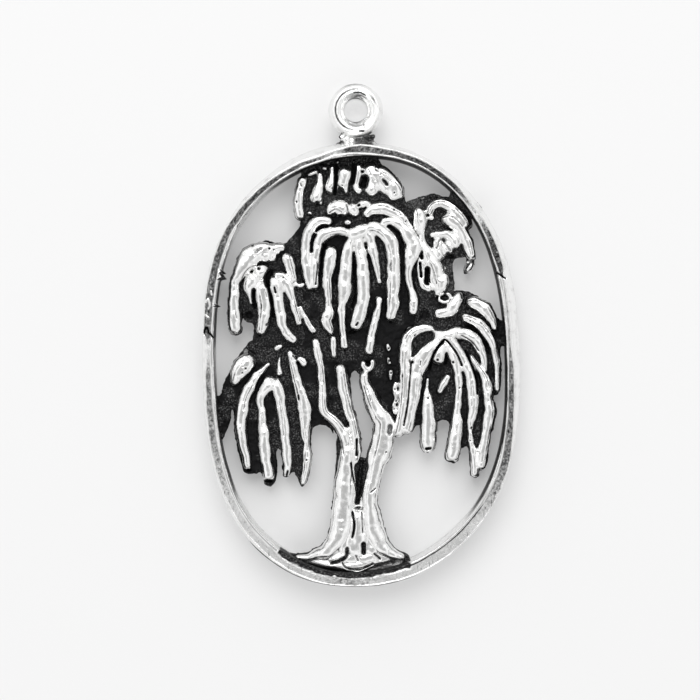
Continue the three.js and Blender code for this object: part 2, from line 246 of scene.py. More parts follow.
@dataclass(frozen=True)
class Nodes:
    """A node tree, with short ways to add its nodes and feed their sockets."""

    tree: bpy.types.NodeTree

    def feed(self, socket: Socket, value: Feed) -> None:
        """Link a socket to another, or give it a plain value."""
        if isinstance(value, Socket):
            self.tree.links.new(value, socket)
        else:
            socket.default_value = value

    def add(self, kind: str, **inputs: Feed) -> bpy.types.Node:
        """Add a node and feed it.

        Args:
            kind: The node's type.
            **inputs: A socket or a value by the input's name, with an underscore for each space.

        Returns:
            The node.
        """
        node = self.tree.nodes.new(kind)
        for name, value in inputs.items():
            self.feed(node.inputs[name.replace("_", " ")], value)
        return node

    def calc(self, operation: str, *values: Feed, clamp: bool = False) -> Socket:
        """Result of a Math node.

        Args:
            operation: What the node does.
            *values: Its inputs in order.
            clamp: Whether the result is held from 0 to 1.

        Returns:
            The result's socket.
        """
        node = self.add("ShaderNodeMath")
        node.operation = operation
        node.use_clamp = clamp
        for socket, value in zip(node.inputs, values):
            self.feed(socket, value)
        return node.outputs["Value"]

    def vector(self, operation: str, first: Feed, second: Feed) -> bpy.types.Node:
        """A Vector Math node with two inputs."""
        node = self.add("ShaderNodeVectorMath")
        node.operation = operation
        self.feed(node.inputs[0], first)
        self.feed(node.inputs[1], second)
        return node

    def noise(self, place: Socket, size: float, detail: float) -> Socket:
        """Noise whose largest bumps are size millimetres across."""
        scale = 1.0 / (size * MM)
        return self.add("ShaderNodeTexNoise", Vector=place, Scale=scale, Detail=detail).outputs["Fac"]

    def ease(self, value: Socket, span: Span, results: Span = (0.0, 1.0)) -> Socket:
        """Ease a value smoothly from one result to another.

        Args:
            value: The socket to ease.
            span: Where the result starts to change, and where it ends.
            results: The result before the span and past it.

        Returns:
            The result's socket.
        """
        (start, end), (low, high) = span, results
        node = self.add("ShaderNodeMapRange", From_Min=start, From_Max=end, To_Min=low, To_Max=high)
        node.interpolation_type = "SMOOTHSTEP"
        self.feed(node.inputs["Value"], value)
        return node.outputs["Result"]

    def mix(self, share: Socket, first: Feed, second: Feed) -> Socket:
        """Mix two colours.

        Args:
            share: How much of the second there is.
            first: A colour's socket, or its three numbers.
            second: The same for the other colour.

        Returns:
            The mixed colour's socket.
        """
        node = self.add("ShaderNodeMix")
        node.data_type = "RGBA"
        self.feed(node.inputs["Factor"], share)
        colours = [socket for socket in node.inputs if socket.type == "RGBA"]
        for socket, value in zip(colours, (first, second)):
            self.feed(socket, value if isinstance(value, Socket) else (*value, 1.0))
        return next(socket for socket in node.outputs if socket.type == "RGBA")


# Finishes


@dataclass(frozen=True)
class SilverFinish:
    """Cast silver: bright where it is polished, and black and sandy where the oxide is left. The same black
    also paints shade where a piece's value at the vertices asks for it.

    Sizes and depths are millimetres. A span is where an eased share starts and where it is full.
    """

    name: str
    slot: str
    bright: Triple = (0.90, 0.90, 0.895)
    dull: Triple = (0.62, 0.62, 0.615)
    oxide_and_shade: Triple = (0.017, 0.017, 0.0175)
    sand: Triple = (0.2, 0.2, 0.2)
    polish: float = 0.2
    worn: float = 0.36
    grain_roughness: float = 0.62
    smudge_size: float = 0.55
    smudge_span: Span = (0.5, 0.8)
    grain_size: float = 0.075
    grain_depth: float = 0.045
    mottle: float = 0.4
    oxide_and_shade_span: Span = (0.16, 0.78)
    speckle_size: float = 0.105
    speckle_span: Span = (0.46, 0.76)
    blackest_span: Span = (1.0, 0.9)
    streak_size: float = 0.15
    streak_stretch: Triple = (1.0, 0.16, 0.5)
    streak_span: Span = (0.63, 0.72)
    streak_strength: float = 0.42
    hairline_size: float = 0.05
    hairline_stretch: Triple = (1.0, 0.12, 1.0)
    hairline_angle: float = 35.0
    hairline_depth: float = 0.003

    def material(self) -> bpy.types.Material:
        """Build the finish's shader, or return it if it has been built.

        Returns:
            The material.
        """
        made = bpy.data.materials.get(self.name)
        if made is not None:
            return made
        made = bpy.data.materials.new(self.name)
        made.use_nodes = True
        made.diffuse_color = (*self.bright, 1.0)
        nodes = Nodes(made.node_tree)
        shader = made.node_tree.nodes["Principled BSDF"].inputs
        place = nodes.add("ShaderNodeTexCoord").outputs["Object"]
        patina_and_shade = nodes.add("ShaderNodeAttribute")
        patina_and_shade.attribute_name = PATINA_AND_SHADE
        patina_and_shade = patina_and_shade.outputs["Fac"]
        grain = nodes.noise(place, self.grain_size, 3.0)
        oxide_and_shade = self._oxide_and_shade(nodes, place, grain, patina_and_shade)

        wear = nodes.ease(nodes.noise(place, self.smudge_size, 4.0), self.smudge_span)
        metal = nodes.mix(wear, self.bright, self.dull)
        speckle = nodes.ease(nodes.noise(place, self.speckle_size, 3.0), self.speckle_span)
        speckle = nodes.calc("MULTIPLY", speckle, nodes.ease(patina_and_shade, self.blackest_span))
        low = nodes.mix(speckle, self.oxide_and_shade, self.sand)
        satin = nodes.calc("MULTIPLY_ADD", wear, self.worn - self.polish, self.polish)
        rough = nodes.add("ShaderNodeMix", Factor=oxide_and_shade, A=satin, B=self.grain_roughness)

        shader["Metallic"].default_value = 1.0
        nodes.feed(shader["Base Color"], nodes.mix(oxide_and_shade, metal, low))
        nodes.feed(shader["Roughness"], rough.outputs["Result"])
        nodes.feed(shader["Normal"], self._relief(nodes, place, grain, oxide_and_shade))
        return made

    def _oxide_and_shade(self, nodes: Nodes, place: Socket, grain: Socket, patina_and_shade: Socket) -> Socket:
        """Share of oxide and painted shade: the value kept at the vertices, mottled by the grain and dulled
        in fine streaks.

        Args:
            nodes: The material's nodes.
            place: The point's place on the object.
            grain: The grain noise.
            patina_and_shade: The oxide and painted shade kept at the vertices.

        Returns:
            The share's socket.
        """
        mottled = nodes.calc("MULTIPLY_ADD", nodes.calc("SUBTRACT", grain, 0.5), self.mottle, patina_and_shade)
        drawn = nodes.add("ShaderNodeMapping", Vector=place, Scale=self.streak_stretch)
        streak = nodes.noise(drawn.outputs["Vector"], self.streak_size, 2.0)
        streak = nodes.ease(streak, self.streak_span)
        mottled = nodes.calc("MULTIPLY_ADD", streak, self.streak_strength, mottled)
        return nodes.ease(mottled, self.oxide_and_shade_span)

    def _relief(self, nodes: Nodes, place: Socket, grain: Socket, oxide_and_shade: Socket) -> Socket:
        """Bump: sandy grain where the oxide and painted shade are, and fine hairlines from polishing
        everywhere.

        Args:
            nodes: The material's nodes.
            place: The point's place on the object.
            grain: The grain noise.
            oxide_and_shade: The share of oxide and painted shade.

        Returns:
            The normal's socket.
        """
        turn = nodes.add("ShaderNodeMapping", Vector=place, Scale=self.hairline_stretch)
        turn.inputs["Rotation"].default_value = (0.0, 0.0, math.radians(self.hairline_angle))
        hairline = nodes.noise(turn.outputs["Vector"], self.hairline_size, 2.0)
        fine = nodes.add("ShaderNodeBump", Height=hairline, Distance=self.hairline_depth * MM)
        sandy = nodes.add(
            "ShaderNodeBump",
            Height=nodes.calc("MULTIPLY", grain, oxide_and_shade),
            Distance=self.grain_depth * MM,
            Normal=fine.outputs["Normal"],
        )
        return sandy.outputs["Normal"]


POLISHED = SilverFinish("cast_silver_polished", "polished_silver", smudge_size=0.8, streak_strength=0.2)
ANTIQUED = SilverFinish("cast_silver_antiqued", "antiqued_silver")


# Cast pieces


@dataclass
class Ridge:
    """A raised line of the tree, such as a frond or a bough.

    Its line runs from root to tip, and its widths are spread evenly along it. lift raises it above
    the ridges around it. A seam other than 0 gives it a fine oxidised line along one side: -1 is its
    right edge and 1 its left, looking towards the tip. pit is the width of a small pit in its tip.
    """

    SEAM_SPACING: ClassVar[float] = 0.25
    PIT_BACK: ClassVar[float] = 0.06

    line: list[Point]
    widths: tuple[float, ...]
    lift: float = 0.0
    seam: float = 0.0
    pit: float = 0.0

    def sampled(self, spacing: float) -> tuple[Array, Array]:
        """Points along the line, about spacing apart, and half the ridge's width at each."""
        line = smooth_line(self.line, spacing)
        stops = np.linspace(0.0, 1.0, len(self.widths))
        return line, np.interp(np.linspace(0.0, 1.0, len(line)), stops, self.widths) / 2.0

    def seam_line(self) -> list[Point]:
        """Points of the fine line along the ridge, off its middle by seam times its half width."""
        line, half = self.sampled(self.SEAM_SPACING)
        heading = np.gradient(line, axis=0)
        heading /= np.maximum(np.linalg.norm(heading, axis=1, keepdims=True), 1e-9)
        aside = np.stack([-heading[:, 1], heading[:, 0]], axis=1)
        return [tuple(point) for point in (line + aside * (half * self.seam)[:, None])[1:-2]]

    def tip_pit(self) -> Point:
        """Place of the pit, a little back from the end of the line."""
        before, end = np.array(self.line[-2]), np.array(self.line[-1])
        back = (before - end) / np.linalg.norm(before - end) * self.PIT_BACK
        return (float(end[0] + back[0]), float(end[1] + back[1]))


@dataclass
class Groove:
    """A cut made with a round tool: a line, or a single point for a pit.

    dark is how black it is left. Below 0 it is polished bright instead, and a depth below 0 raises it.
    """

    line: list[Point]
    width: float = 0.2
    depth: float = 0.4
    dark: float = 1.0


@dataclass
class Casting:
    """A piece of the casting as numbers: its vertices, its faces and the oxide and painted shade at each
    vertex.
    """

    CUT_FLOOR: ClassVar[float] = 1.15  # no cut goes below this height
    CUT_SKIN: ClassVar[float] = 0.15  # how far below that floor a cut still blackens
    CUT_REACH: ClassVar[float] = 1.6  # how far from its line a cut is felt, in widths
    CUT_SPACING: ClassVar[float] = 0.15
    CUT_EDGE: ClassVar[Span] = (0.85, 0.2)  # where a cut starts and is full, in widths
    DARK_EDGE: ClassVar[Span] = (0.75, 0.35)  # the same for its oxide
    RAGGED: ClassVar[Bumps] = Bumps(0.3, 0.2, 80, 1)
    GAPS: ClassVar[Bumps] = Bumps(0.9, 1.0, 90, 1)
    GAP_SPAN: ClassVar[Span] = (-0.1, 0.3)

    vertices: Array
    faces: Array
    patina_and_shade: Array

    def normals(self) -> Array:
        """Unit normal at each vertex, pointing outwards."""
        corners = self.vertices[self.faces]
        across = np.cross(corners[:, 2] - corners[:, 0], corners[:, 3] - corners[:, 1])
        total = np.zeros_like(self.vertices)
        for axis in range(3):
            for corner in range(4):
                total[:, axis] += np.bincount(self.faces[:, corner], across[:, axis], len(total))
        return total / np.maximum(np.linalg.norm(total, axis=1, keepdims=True), 1e-12)

    def push(self, distance: Array) -> None:
        """Move each vertex out along its normal by its own distance."""
        self.vertices = self.vertices + self.normals() * distance[:, None]

    def relax(self, rounds: int, share: float = 0.5) -> None:
        """Draw each vertex towards the middle of its neighbours.

        Args:
            rounds: How often.
            share: How far each time, from 0 to 1.
        """
        edges = np.vstack([self.faces[:, [i, (i + 1) % 4]] for i in range(4)])
        near, far = edges.T
        count = len(self.vertices)
        degree = np.maximum(np.bincount(near, minlength=count), 1)
        for _ in range(rounds):
            beside = self.vertices[far].T
            mean = np.stack([np.bincount(near, values, count) / degree for values in beside], axis=1)
            self.vertices += (mean - self.vertices) * share

    def cut(self, groove: Groove, seed: int, broken: float = 0.0) -> None:
        """Push the skin in along one groove or pit, and blacken or polish it.

        Args:
            groove: The cut.
            seed: Picks the raggedness of its edge.
            broken: How much the line fades in and out along its way, from 0 to 1.
        """
        reach = groove.width * self.CUT_REACH
        line = np.array(groove.line)
        if len(line) > 1:
            line = smooth_line(groove.line, self.CUT_SPACING)
        low, high = line.min(axis=0) - reach, line.max(axis=0) + reach
        inside = np.all((self.vertices[:, :2] > low) & (self.vertices[:, :2] < high), axis=1)
        near = np.flatnonzero(inside & (self.vertices[:, 2] > self.CUT_FLOOR - self.CUT_SKIN))
        places = self.vertices[near]
        away = distance_to_line(places[:, :2], line) / groove.width
        ragged = self.RAGGED.over(places, seed)
        share = smooth_step(away + ragged * 0.5, *self.CUT_EDGE)
        dark = smooth_step(away + ragged, *self.DARK_EDGE) * abs(groove.dark)
        if broken:
            present = 1.0 - broken * smooth_step(self.GAPS.over(places, seed), *self.GAP_SPAN)
            share, dark = share * present, dark * present
        deepest = np.maximum(places[:, 2] - self.CUT_FLOOR, 0.0)
        self.vertices[near, 2] -= share * np.minimum(groove.depth, deepest)
        if groove.dark < 0.0:
            self.patina_and_shade[near] *= 1.0 - dark
        else:
            self.patina_and_shade[near] = np.maximum(self.patina_and_shade[near], dark)

    def to_object(self, name: str, finish: SilverFinish, nodes: list[str]) -> bpy.types.Object:
        """Make the piece an object in metres, hide the frame's solids that it stands for, and hang it on the
        body.

        Args:
            name: The piece's name.
            finish: What it is dressed in.
            nodes: The frame's solids that it stands for.

        Returns:
            The finished object.
        """
        mesh = bpy.data.meshes.new(name)
        mesh.from_pydata((self.vertices * MM).tolist(), [], self.faces.tolist())
        mesh.polygons.foreach_set("use_smooth", np.ones(len(mesh.polygons), bool))
        layer = mesh.attributes.new(PATINA_AND_SHADE, "FLOAT", "POINT")
        layer.data.foreach_set("value", np.clip(self.patina_and_shade, 0.0, 1.0).astype(np.float32))
        mesh.materials.append(finish.material())
        mesh.update()
        piece = placed(name, mesh)
        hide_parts(*nodes)
        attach(piece, BODY)
        log.info("%s: %d vertices for %s", name, len(mesh.vertices), ", ".join(nodes))
        return piece


class RidgeNodes:
    """The Geometry Nodes tree that sweeps each ridge along its line."""

    NAME = "sweep_ridges"
    FOOT = 1.36  # width of a ridge at its foot, for each unit of bright width
    LINE_SPACING = 0.4
    RISE = (0.45, 1.15)  # height above the shoulder, and more of it for each unit of half width
    RISE_LIMITS = (0.5, 0.95)
    WALL_POWER = 0.35  # how steeply a ridge's walls drop to its back
    LEAST_END = 0.05  # share of its section that a ridge keeps at its very ends

    def __init__(self) -> None:
        """Find the tree, or build it the first time."""
        self.tree = bpy.data.node_groups.get(self.NAME) or self._build()

    def _build(self) -> bpy.types.NodeTree:
        """Make the tree: lines, then even points, then a swept section, then its real heights.

        Returns:
            The node group.
        """
        tree = bpy.data.node_groups.new(self.NAME, "GeometryNodeTree")
        self._declare(tree.interface)
        self.nodes = Nodes(tree)
        self.given = tree.nodes.new("NodeGroupInput").outputs

        lines = self.nodes.add("GeometryNodeMeshToCurve", Mesh=self.given["Geometry"])
        curved = self.nodes.add("GeometryNodeCurveSplineType", Curve=lines.outputs["Curve"])
        curved.spline_type = "CATMULL_ROM"
        even = self.nodes.add("GeometryNodeResampleCurve", Curve=curved.outputs["Curve"])
        even.mode = "LENGTH"
        self.nodes.feed(even.inputs["Length"], self.given["Spacing"])
        circle = self.nodes.add("GeometryNodeCurvePrimitiveCircle", Radius=1.0)
        self.nodes.feed(circle.inputs["Resolution"], self.given["Sides"])
        swept = self.nodes.add(
            "GeometryNodeCurveToMesh",
            Curve=self._shape_lines(even.outputs["Curve"]),
            Profile_Curve=circle.outputs["Curve"],
            Scale=self._named("section"),
            Fill_Caps=True,
        )
        raised = self._raise_section(swept.outputs["Mesh"])
        real = self.nodes.add("GeometryNodeRealizeInstances", Geometry=raised).outputs["Geometry"]
        dressed = self.nodes.add("GeometryNodeSetMaterial", Geometry=real, Material=self.given["Material"])
        self.nodes.add("NodeGroupOutput", Geometry=dressed.outputs["Geometry"])
        return tree

    def _declare(self, face: bpy.types.NodeTreeInterface) -> None:
        """Name the tree's inputs and its output."""
        kinds = {"Geometry": "Geometry", "Sides": "Int", "Material": "Material"}
        for name in ("Spacing", "Back", "Shoulder", "Fullness", "Wander", "Wander Size", "Seed"):
            kinds[name] = "Float"
        for name, kind in kinds.items():
            face.new_socket(name, in_out="INPUT", socket_type="NodeSocket" + kind)
        face.new_socket("Geometry", in_out="OUTPUT", socket_type="NodeSocketGeometry")

    def _shape_lines(self, curve: Socket) -> Socket:
        """Give the lines a hand-made wander, and each point its section size and its top.

        Args:
            curve: The evenly spaced lines.

        Returns:
            The lines with the attributes section and top.
        """
        add, calc = self.nodes.add, self.nodes.calc
        place = add("GeometryNodeInputPosition").outputs["Position"]
        scale = calc("DIVIDE", 1.0, self.given["Wander Size"])
        noise = add("ShaderNodeTexNoise", Vector=place, Scale=scale, Detail=1.0)
        noise.noise_dimensions = "4D"
        self.nodes.feed(noise.inputs["W"], self.given["Seed"])
        sway = self.nodes.vector("SUBTRACT", noise.outputs["Color"], (0.5, 0.5, 0.5)).outputs["Vector"]
        sway = add("ShaderNodeSeparateXYZ", Vector=sway).outputs
        wander = self.given["Wander"]
        shift_x, shift_y = (calc("MULTIPLY", sway[axis], wander) for axis in ("X", "Y"))
        aside = add("ShaderNodeCombineXYZ", X=shift_x, Y=shift_y)

        along = add("GeometryNodeSplineParameter").outputs["Length"]
        total = add("GeometryNodeSplineLength").outputs["Length"]
        to_end = calc("MINIMUM", along, calc("SUBTRACT", total, along))
        left = calc("SUBTRACT", 1.0, calc("DIVIDE", to_end, self._named("half_width"), clamp=True))
        rounded = calc("SQRT", calc("SUBTRACT", 1.0, calc("MULTIPLY", left, left)))
        rounded = calc("MAXIMUM", rounded, self.LEAST_END)
        uneven = calc("MULTIPLY_ADD", sway["Z"], wander, self._named("half_width"))
        lumps = calc("MULTIPLY_ADD", sway["X"], wander, self._named("rise"))

        moved = add("GeometryNodeSetPosition", Geometry=curve, Offset=aside.outputs["Vector"])
        sized = self._stored(moved.outputs["Geometry"], "section", calc("MULTIPLY", uneven, rounded))
        return self._stored(sized, "top", calc("MULTIPLY_ADD", lumps, rounded, self.given["Shoulder"]))

    def _raise_section(self, mesh: Socket) -> Socket:
        """Turn the round section into a ridge: a rounded top on a wall down to the back.

        Args:
            mesh: The swept tubes, lying about z = 0.

        Returns:
            The ridges at their real heights.
        """
        add, calc = self.nodes.add, self.nodes.calc
        place = add("GeometryNodeInputPosition").outputs["Position"]
        place = add("ShaderNodeSeparateXYZ", Vector=place).outputs
        shoulder = self.given["Shoulder"]
        sine = calc("DIVIDE", place["Z"], self._named("section"))
        upper = calc("POWER", calc("MAXIMUM", sine, 0.0), self.given["Fullness"])
        lower = calc("POWER", calc("MAXIMUM", calc("MULTIPLY", sine, -1.0), 0.0), self.WALL_POWER)
        rise = calc("SUBTRACT", self._named("top"), shoulder)
        drop = calc("SUBTRACT", self.given["Back"], shoulder)
        height = calc("MULTIPLY_ADD", drop, lower, calc("MULTIPLY_ADD", rise, upper, shoulder))
        joined = add("ShaderNodeCombineXYZ", X=place["X"], Y=place["Y"], Z=height).outputs["Vector"]
        return add("GeometryNodeSetPosition", Geometry=mesh, Position=joined).outputs["Geometry"]

    def _named(self, name: str) -> Socket:
        """Socket of a stored number."""
        return self.nodes.add("GeometryNodeInputNamedAttribute", Name=name).outputs["Attribute"]

    def _stored(self, geometry: Socket, name: str, value: Socket) -> Socket:
        """Socket of the geometry with a number stored at each point."""
        node = self.nodes.add("GeometryNodeStoreNamedAttribute", Geometry=geometry, Name=name, Value=value)
        return node.outputs["Geometry"]

    def sweep(self, ridges: list[Ridge], name: str, inputs: dict[str, object]) -> bpy.types.Mesh:
        """Run the tree over some ridges.

        Args:
            ridges: The ridges, each with its own line, widths and lift.
            name: Name for the objects made on the way.
            inputs: A value for each named input but Geometry.

        Returns:
            A plain mesh of closed bars, in millimetres.
        """
        points, edges, halves, rises = [], [], [], []
        base, slope = self.RISE
        for ridge in ridges:
            line, half = ridge.sampled(self.LINE_SPACING)
            first = len(points)
            points += [(x, y, 0.0) for x, y in line]
            edges += [(i, i + 1) for i in range(first, len(points) - 1)]
            halves += (half * self.FOOT).tolist()
            rises += (ridge.lift + np.clip(base + slope * half, *self.RISE_LIMITS)).tolist()
        mesh = bpy.data.meshes.new(name + "_lines")
        mesh.from_pydata(points, edges, [])
        for key, values in (("half_width", halves), ("rise", rises)):
            mesh.attributes.new(key, "FLOAT", "POINT").data.foreach_set("value", values)
        source = placed(mesh.name, mesh)
        modifier = source.modifiers.new("sweep", "NODES")
        modifier.node_group = self.tree
        for item in self.tree.interface.items_tree:
            if item.item_type == "SOCKET" and item.in_out == "INPUT" and item.name in inputs:
                modifier[item.identifier] = inputs[item.name]
        return flattened(source)


@dataclass
class Foliage:
    """A part of the tree: ridges fused with the sheet behind them, then chased and antiqued.

    Lengths and heights are millimetres. A span is where an eased share starts and where it is full.
    """

    name: str
    nodes: list[str]
    sheet: list[Point]
    ridges: list[Ridge]
    grooves: list[Groove] = field(default_factory=list)
    seed: int = 1
    sheet_height: float = Layer.SHEET.value
    sheet_spacing: float = 0.25
    shoulder: float = 1.42
    voxel: float = 0.06
    fullness: float = 0.48
    ridge_spacing: float = 0.09
    ridge_sides: int = 20
    wander: float = 0.2
    wander_size: float = 0.95
    lumps: Bumps = Bumps(0.75, 0.075)
    chatter: Bumps = Bumps(0.35, 0.012, 20)
    grit: Bumps = Bumps(0.24, 0.1, 40)
    grit_top: Span = (1.95, 1.55)
    grit_foot: Span = (0.6, 1.0)
    back_ease: float = 0.3
    black: float = 0.9
    black_span: Span = (2.02, 1.6)
    black_edge: Bumps = Bumps(0.45, 0.1, 60, 3)
    rubbed: float = 0.17
    rubbed_bumps: Bumps = Bumps(1.5, 1.0, 70)
    rubbed_span: Span = (-0.05, 0.45)
    back_tone: float = 0.35
    back_span: Span = (0.75, 0.45)
    seam_cut: Triple = (0.09, 0.05, 0.62)
    seam_gaps: float = 0.55
    pit_depth: float = 0.35
    finish: SilverFinish = ANTIQUED

    def build(self) -> bpy.types.Object:
        """Make the whole piece.

        Returns:
            The finished object.
        """
        casting = self._fuse([self._ridge_mesh(), self._sheet_mesh()])
        casting.relax(rounds=2)
        self._roughen(casting)
        self._antique(casting)
        for ridge in self.ridges:
            if ridge.seam:
                casting.cut(Groove(ridge.seam_line(), *self.seam_cut), self.seed, self.seam_gaps)
            if ridge.pit:
                casting.cut(Groove([ridge.tip_pit()], ridge.pit, self.pit_depth), self.seed)
        for groove in self.grooves:
            casting.cut(groove, self.seed)
        casting.relax(rounds=1, share=0.3)
        return casting.to_object(self.name, self.finish, self.nodes)

    def _ridge_mesh(self) -> bpy.types.Mesh:
        """The ridges as closed bars."""
        inputs = {
            "Spacing": self.ridge_spacing,
            "Sides": self.ridge_sides,
            "Back": Layer.TREE_BACK.value,
            "Shoulder": self.shoulder,
            "Fullness": self.fullness,
            "Wander": self.wander,
            "Wander Size": self.wander_size,
            "Seed": float(self.seed),
            "Material": self.finish.material(),
        }
        return RidgeNodes().sweep(self.ridges, self.name, inputs)

    def _sheet_mesh(self) -> bpy.types.Mesh:
        """The sheet behind the ridges as a closed slab."""
        flat = bpy.data.curves.new(self.name + "_sheet", "CURVE")
        flat.dimensions = "2D"
        flat.fill_mode = "BOTH"
        flat.extrude = (self.sheet_height - Layer.TREE_BACK.value) / 2.0
        line = smooth_line(self.sheet, self.sheet_spacing, closed=True)
        spline = flat.splines.new("POLY")
        spline.points.add(len(line) - 1)
        for point, (x, y) in zip(spline.points, line):
            point.co = (x, y, 0.0, 1.0)
        spline.use_cyclic_u = True
        mesh = flattened(placed(flat.name, flat))
        for vertex in mesh.vertices:
            vertex.co.z += (self.sheet_height + Layer.TREE_BACK.value) / 2.0
        return mesh

    def _fuse(self, meshes: list[bpy.types.Mesh]) -> Casting:
        """Melt closed meshes into one skin of even quads.

        Args:
            meshes: The parts, which may overlap.

        Returns:
            The fused piece, not yet antiqued.
        """
        vertices, faces = [], []
        for mesh in meshes:
            start = len(vertices)
            vertices += [tuple(v.co) for v in mesh.vertices]
            faces += [[start + i for i in p.vertices] for p in mesh.polygons]
        joined = bpy.data.meshes.new(self.name + "_joined")
        joined.from_pydata(vertices, [], faces)
        holder = placed(joined.name, joined)
        melt = holder.modifiers.new("melt", "REMESH")
        melt.mode = "VOXEL"
        melt.voxel_size = self.voxel
        fused = flattened(holder)
        count = len(fused.vertices)
        places = np.zeros(count * 3)
        fused.vertices.foreach_get("co", places)
        corners = np.zeros(len(fused.loops), np.int64)
        fused.loops.foreach_get("vertex_index", corners)
        return Casting(places.reshape(-1, 3), corners.reshape(-1, 4), np.zeros(count))

    def _roughen(self, casting: Casting) -> None:
        """Give the skin the soft lumps of a casting, and sand in the low places."""
        places = casting.vertices
        height = places[:, 2]
        low = smooth_step(height, *self.grit_top) * smooth_step(height, *self.grit_foot)
        facing = smooth_step(height, Layer.TREE_BACK.value, Layer.TREE_BACK.value + self.back_ease)
        bumps = self.lumps.over(places, self.seed) + self.chatter.over(places, self.seed)
        casting.push((bumps + self.grit.over(places, self.seed) * low) * facing)

    def _antique(self, casting: Casting) -> None:
        """Leave oxide in the low places and on the steep walls."""
        places = casting.vertices
        depth = places[:, 2] + self.black_edge.over(places, self.seed)
        rubbed = smooth_step(self.rubbed_bumps.over(places, self.seed), *self.rubbed_span)
        low = smooth_step(depth, *self.black_span) * self.black * (1.0 - self.rubbed * rubbed)
        back = smooth_step(places[:, 2], *self.back_span)
        casting.patina_and_shade = np.clip(low * (1.0 - back) + back * self.back_tone, 0.0, 1.0)


# Rim and hanging ring


def closed_band(rings: Array) -> Array:
    """Faces of a skin over equal closed rings that follow each other in a loop.

    Args:
        rings: An array of rings by points by 3.

    Returns:
        The quads' corner numbers, facing away from the origin on the whole.
    """
    steps, count = rings.shape[:2]
    step, corner = np.meshgrid(np.arange(steps), np.arange(count), indexing="ij")
    after, beside = (step + 1) % steps, (corner + 1) % count
    quads = [step * count + corner, after * count + corner, after * count + beside, step * count + beside]
    faces = np.stack([q.ravel() for q in quads], axis=1)
    corners = rings.reshape(-1, 3)[faces]
    normals = np.cross(corners[:, 2] - corners[:, 0], corners[:, 3] - corners[:, 1])
    outwards = (normals * corners.mean(axis=1)).sum() > 0
    return faces if outwards else faces[:, ::-1]


@dataclass
class Stop:
    """The rim's band at one place: where its sandy channel starts and ends, and how dark it is.

    at counts forty-eighths of the way round, clockwise from the top. start and end are distances
    in from the oval, and sand is from 0, polished away, to 1, black. reach is how much further in
    the inner edge stands there, and wall is how black the wall inside it is.
    """

    at: float
    start: float
    end: float
    sand: float
    reach: float = 0.1
    wall: float = 1.0


@dataclass
class Band:
    """The rim's band at every step of the way round, each value a column of steps by 1.

    at, start, end, sand and wall are as a stop's, with start and end from the outer edge. width is
    the band's whole width, and spur how far a spur of the inner edge stands out there.
    """

    at: Array
    start: Array
    end: Array
    sand: Array
    wall: Array
    width: Array
    spur: Array


